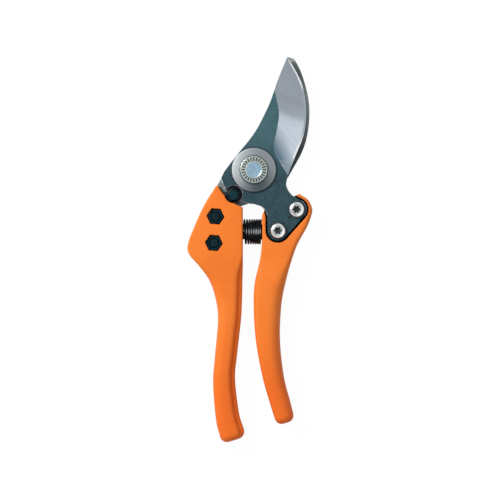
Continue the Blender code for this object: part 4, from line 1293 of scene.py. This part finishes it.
# %% Tick tree
def tick_tree():
    sizes = {"Ticks": "Int", "Ring": "Float", "Bar": "Vector", "Place": "Vector"}
    tree, ins = geometry_tree("tick ring", sizes)
    ring = node(tree, "GeometryNodeMeshCircle", ins["Ticks"], ins["Ring"])
    bar = node(tree, "GeometryNodeMeshCube", ins["Bar"])
    spot = node(tree, "GeometryNodeInputPosition")
    facing = node(tree, "FunctionNodeAlignRotationToVector", axis='X', Vector=spot)
    bars = node(tree, "GeometryNodeInstanceOnPoints", ring, Instance=bar, Rotation=facing)
    return cut_tree(tree, ins, bars, BOLT_STEEL, crossing=False)


HEAD_SEAT = 0.0151            # the underside of the bolt's head
FACE_RADIUS, FACE_SINK, FACE_WALL = 0.0042, 0.0005, 0.00015
TICKS, TICK_RING, TICK_BAR = 24, 0.0060, (0.0019, 0.00065, 0.0006)
REAR_WASHER_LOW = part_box("pivot_rear_washer")[0].z

low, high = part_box("pivot_bolt")
radius = high.x
face = high.z - FACE_SINK
rim = radius - FACE_SINK
profile = [(0.0, face), (FACE_RADIUS, face), (FACE_RADIUS + FACE_WALL, high.z), (rim, high.z),
           (radius, face), (radius, HEAD_SEAT), (SHANK_RADIUS, HEAD_SEAT),
           (SHANK_RADIUS, REAR_WASHER_LOW), (THREAD_RADIUS, REAR_WASHER_LOW),
           (THREAD_RADIUS, low.z), (0.0, low.z)]
piece = new_object("axle_bolt", turned(softened(profile, radius=0.00015), steps=128))
run_tree(piece, tick_tree(), Ticks=TICKS, Ring=TICK_RING, Bar=TICK_BAR, Place=(0.0, 0.0, high.z))
mark(piece, 1, lambda at, out: at.xy.length < FACE_RADIUS + SEW and at.z > HEAD_SEAT)
# The floors of the ticks and the side of the head are painted dark, as painted shade.
mark(piece, 2, lambda at, out: out.z > 0.9 and at.z < high.z - SEW
     and FACE_RADIUS + FACE_SINK < at.xy.length < rim)
mark(piece, 2, lambda at, out: at.xy.length > rim and at.z > HEAD_SEAT)
dress(piece, "pivot_bolt", "turned_steel", BOLT_STEEL, BLUE_ZINC, RECESS_PAINTED_SHADE)

# %% [markdown]
# ## Lock catch
# The catch is a small black lever. Its outline is read from the solid, and its top is drawn in along
# a quarter circle, as a thumb piece is.

# %% Lock catch
CATCH_CROWN = 0.0016

low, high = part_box("lock_catch")
levels = [(low.z, 0.0), (high.z - CATCH_CROWN, 0.0)]
levels += [(high.z - CATCH_CROWN * (1 - math.sin(a)), -CATCH_CROWN * (1 - math.cos(a)))
           for a in quarter(6)[1:]]
piece = new_object("thumb_catch", pulled(CATCH_OUTLINE, levels))
carve(piece, [bore(PIN, PIN_RADIUS + GAP)])
dress(piece, "lock_catch", "black_plastic", BLACK_NYLON, smooth=40.0)

# %% [markdown]
# ## Stage
# The tool lies on its back on a pale floor, and the camera looks straight down on it through a long
# lens. The floor and the world are white to the camera and to reflections, and light the tool at a
# plain level. A lamp at the upper left shades the handles. A wide card at the right is seen in
# reflections alone, and gives the ground face of the blade something bright to mirror.

# %% Floor
FLOOR_SIZE, FLOOR_DROP = 3.0, 0.0001
WHITE_SHARE, WHITE_LEVEL = 0.94, 1.03  # how much of the floor glows, and how brightly


def rays(tree):
    """Masks of what the camera sees itself, and of what it sees by way of mirrors and glass."""
    path = node(tree, "ShaderNodeLightPath", out=None)
    sent = maths(tree, 'MAXIMUM', path["Is Glossy Ray"], path["Is Transmission Ray"])
    return path["Is Camera Ray"], sent


bm = bmesh.new()
bmesh.ops.create_grid(bm, x_segments=1, y_segments=1, size=FLOOR_SIZE)
bmesh.ops.translate(bm, verts=bm.verts, vec=(0.0, 0.0, -FLOOR_DROP))
made = new_object("floor", bm)
finish = bpy.data.materials.new("pale_floor")
finish.use_nodes = True
tree = finish.node_tree
tree.nodes.clear()
share = maths(tree, 'MULTIPLY', maths(tree, 'MAXIMUM', *rays(tree)), WHITE_SHARE)
paper = node(tree, "ShaderNodeBsdfDiffuse", Color=(0.80, 0.80, 0.80))
white = node(tree, "ShaderNodeEmission", Color=(1.0, 1.0, 1.0), Strength=WHITE_LEVEL)
sheet = node(tree, "ShaderNodeMixShader", share, paper, white)
node(tree, "ShaderNodeOutputMaterial", Surface=sheet, out=None)
made.data.materials.append(finish)
print("floor is laid")

# %% Light
SOFT, SHINE = (0.20, 0.50), (1.0, 0.5)  # the world at its horizon and overhead, as light and mirrored


def lamp(name, spot, target, size, power):
    data = bpy.data.lights.new(name, 'AREA')
    data.shape = 'RECTANGLE'
    data.size, data.size_y = size
    data.energy = power
    made = bpy.data.objects.new(name, data)
    scene.collection.objects.link(made)
    made.location = spot
    made.rotation_euler = (Vector(target) - Vector(spot)).to_track_quat('-Z', 'Y').to_euler()
    print(f"{name}: {power} W")
    return made


made = bpy.data.worlds.new("studio")
made.use_nodes = True
scene.world = made
tree = made.node_tree
tree.nodes.clear()
seen, sent = rays(tree)
up = node(tree, "ShaderNodeSeparateXYZ", node(tree, "ShaderNodeTexCoord", out="Generated"), out="Z")
level = node(tree, "ShaderNodeMix", Factor=sent, A=ranged(tree, up, *SOFT), B=ranged(tree, up, *SHINE))
strength = maths(tree, 'MAXIMUM', level, seen)
sky = node(tree, "ShaderNodeBackground", Color=(1.0, 1.0, 1.0), Strength=strength)
node(tree, "ShaderNodeOutputWorld", Surface=sky, out=None)
lamp("key", (-0.50, 0.36, 0.62), (0.0, -0.04, 0.0), (0.40, 0.40), 7.0)
card = lamp("blade_card", (0.536, -0.206, 0.60), (0.128, 0.142, 0.0), (1.075, 0.82), 1.36)
card.visible_diffuse = False

# %% Camera
FRAME_WIDTH = 0.2814          # what the square picture spans at the blade
FRAME_CENTRE = (-0.00215, -0.0451)
LENS, SENSOR = 200.0, 36.0

data = bpy.data.cameras.new("camera")
data.lens = LENS
data.sensor_width = SENSOR
made = bpy.data.objects.new("camera", data)
scene.collection.objects.link(made)
made.location = (*FRAME_CENTRE, BLADE_TOP + FRAME_WIDTH * LENS / SENSOR)
data.clip_end = 10.0
scene.camera = made
print(f"camera {made.location.z:.3f} above the floor")
scene.view_settings.view_transform = 'Standard'
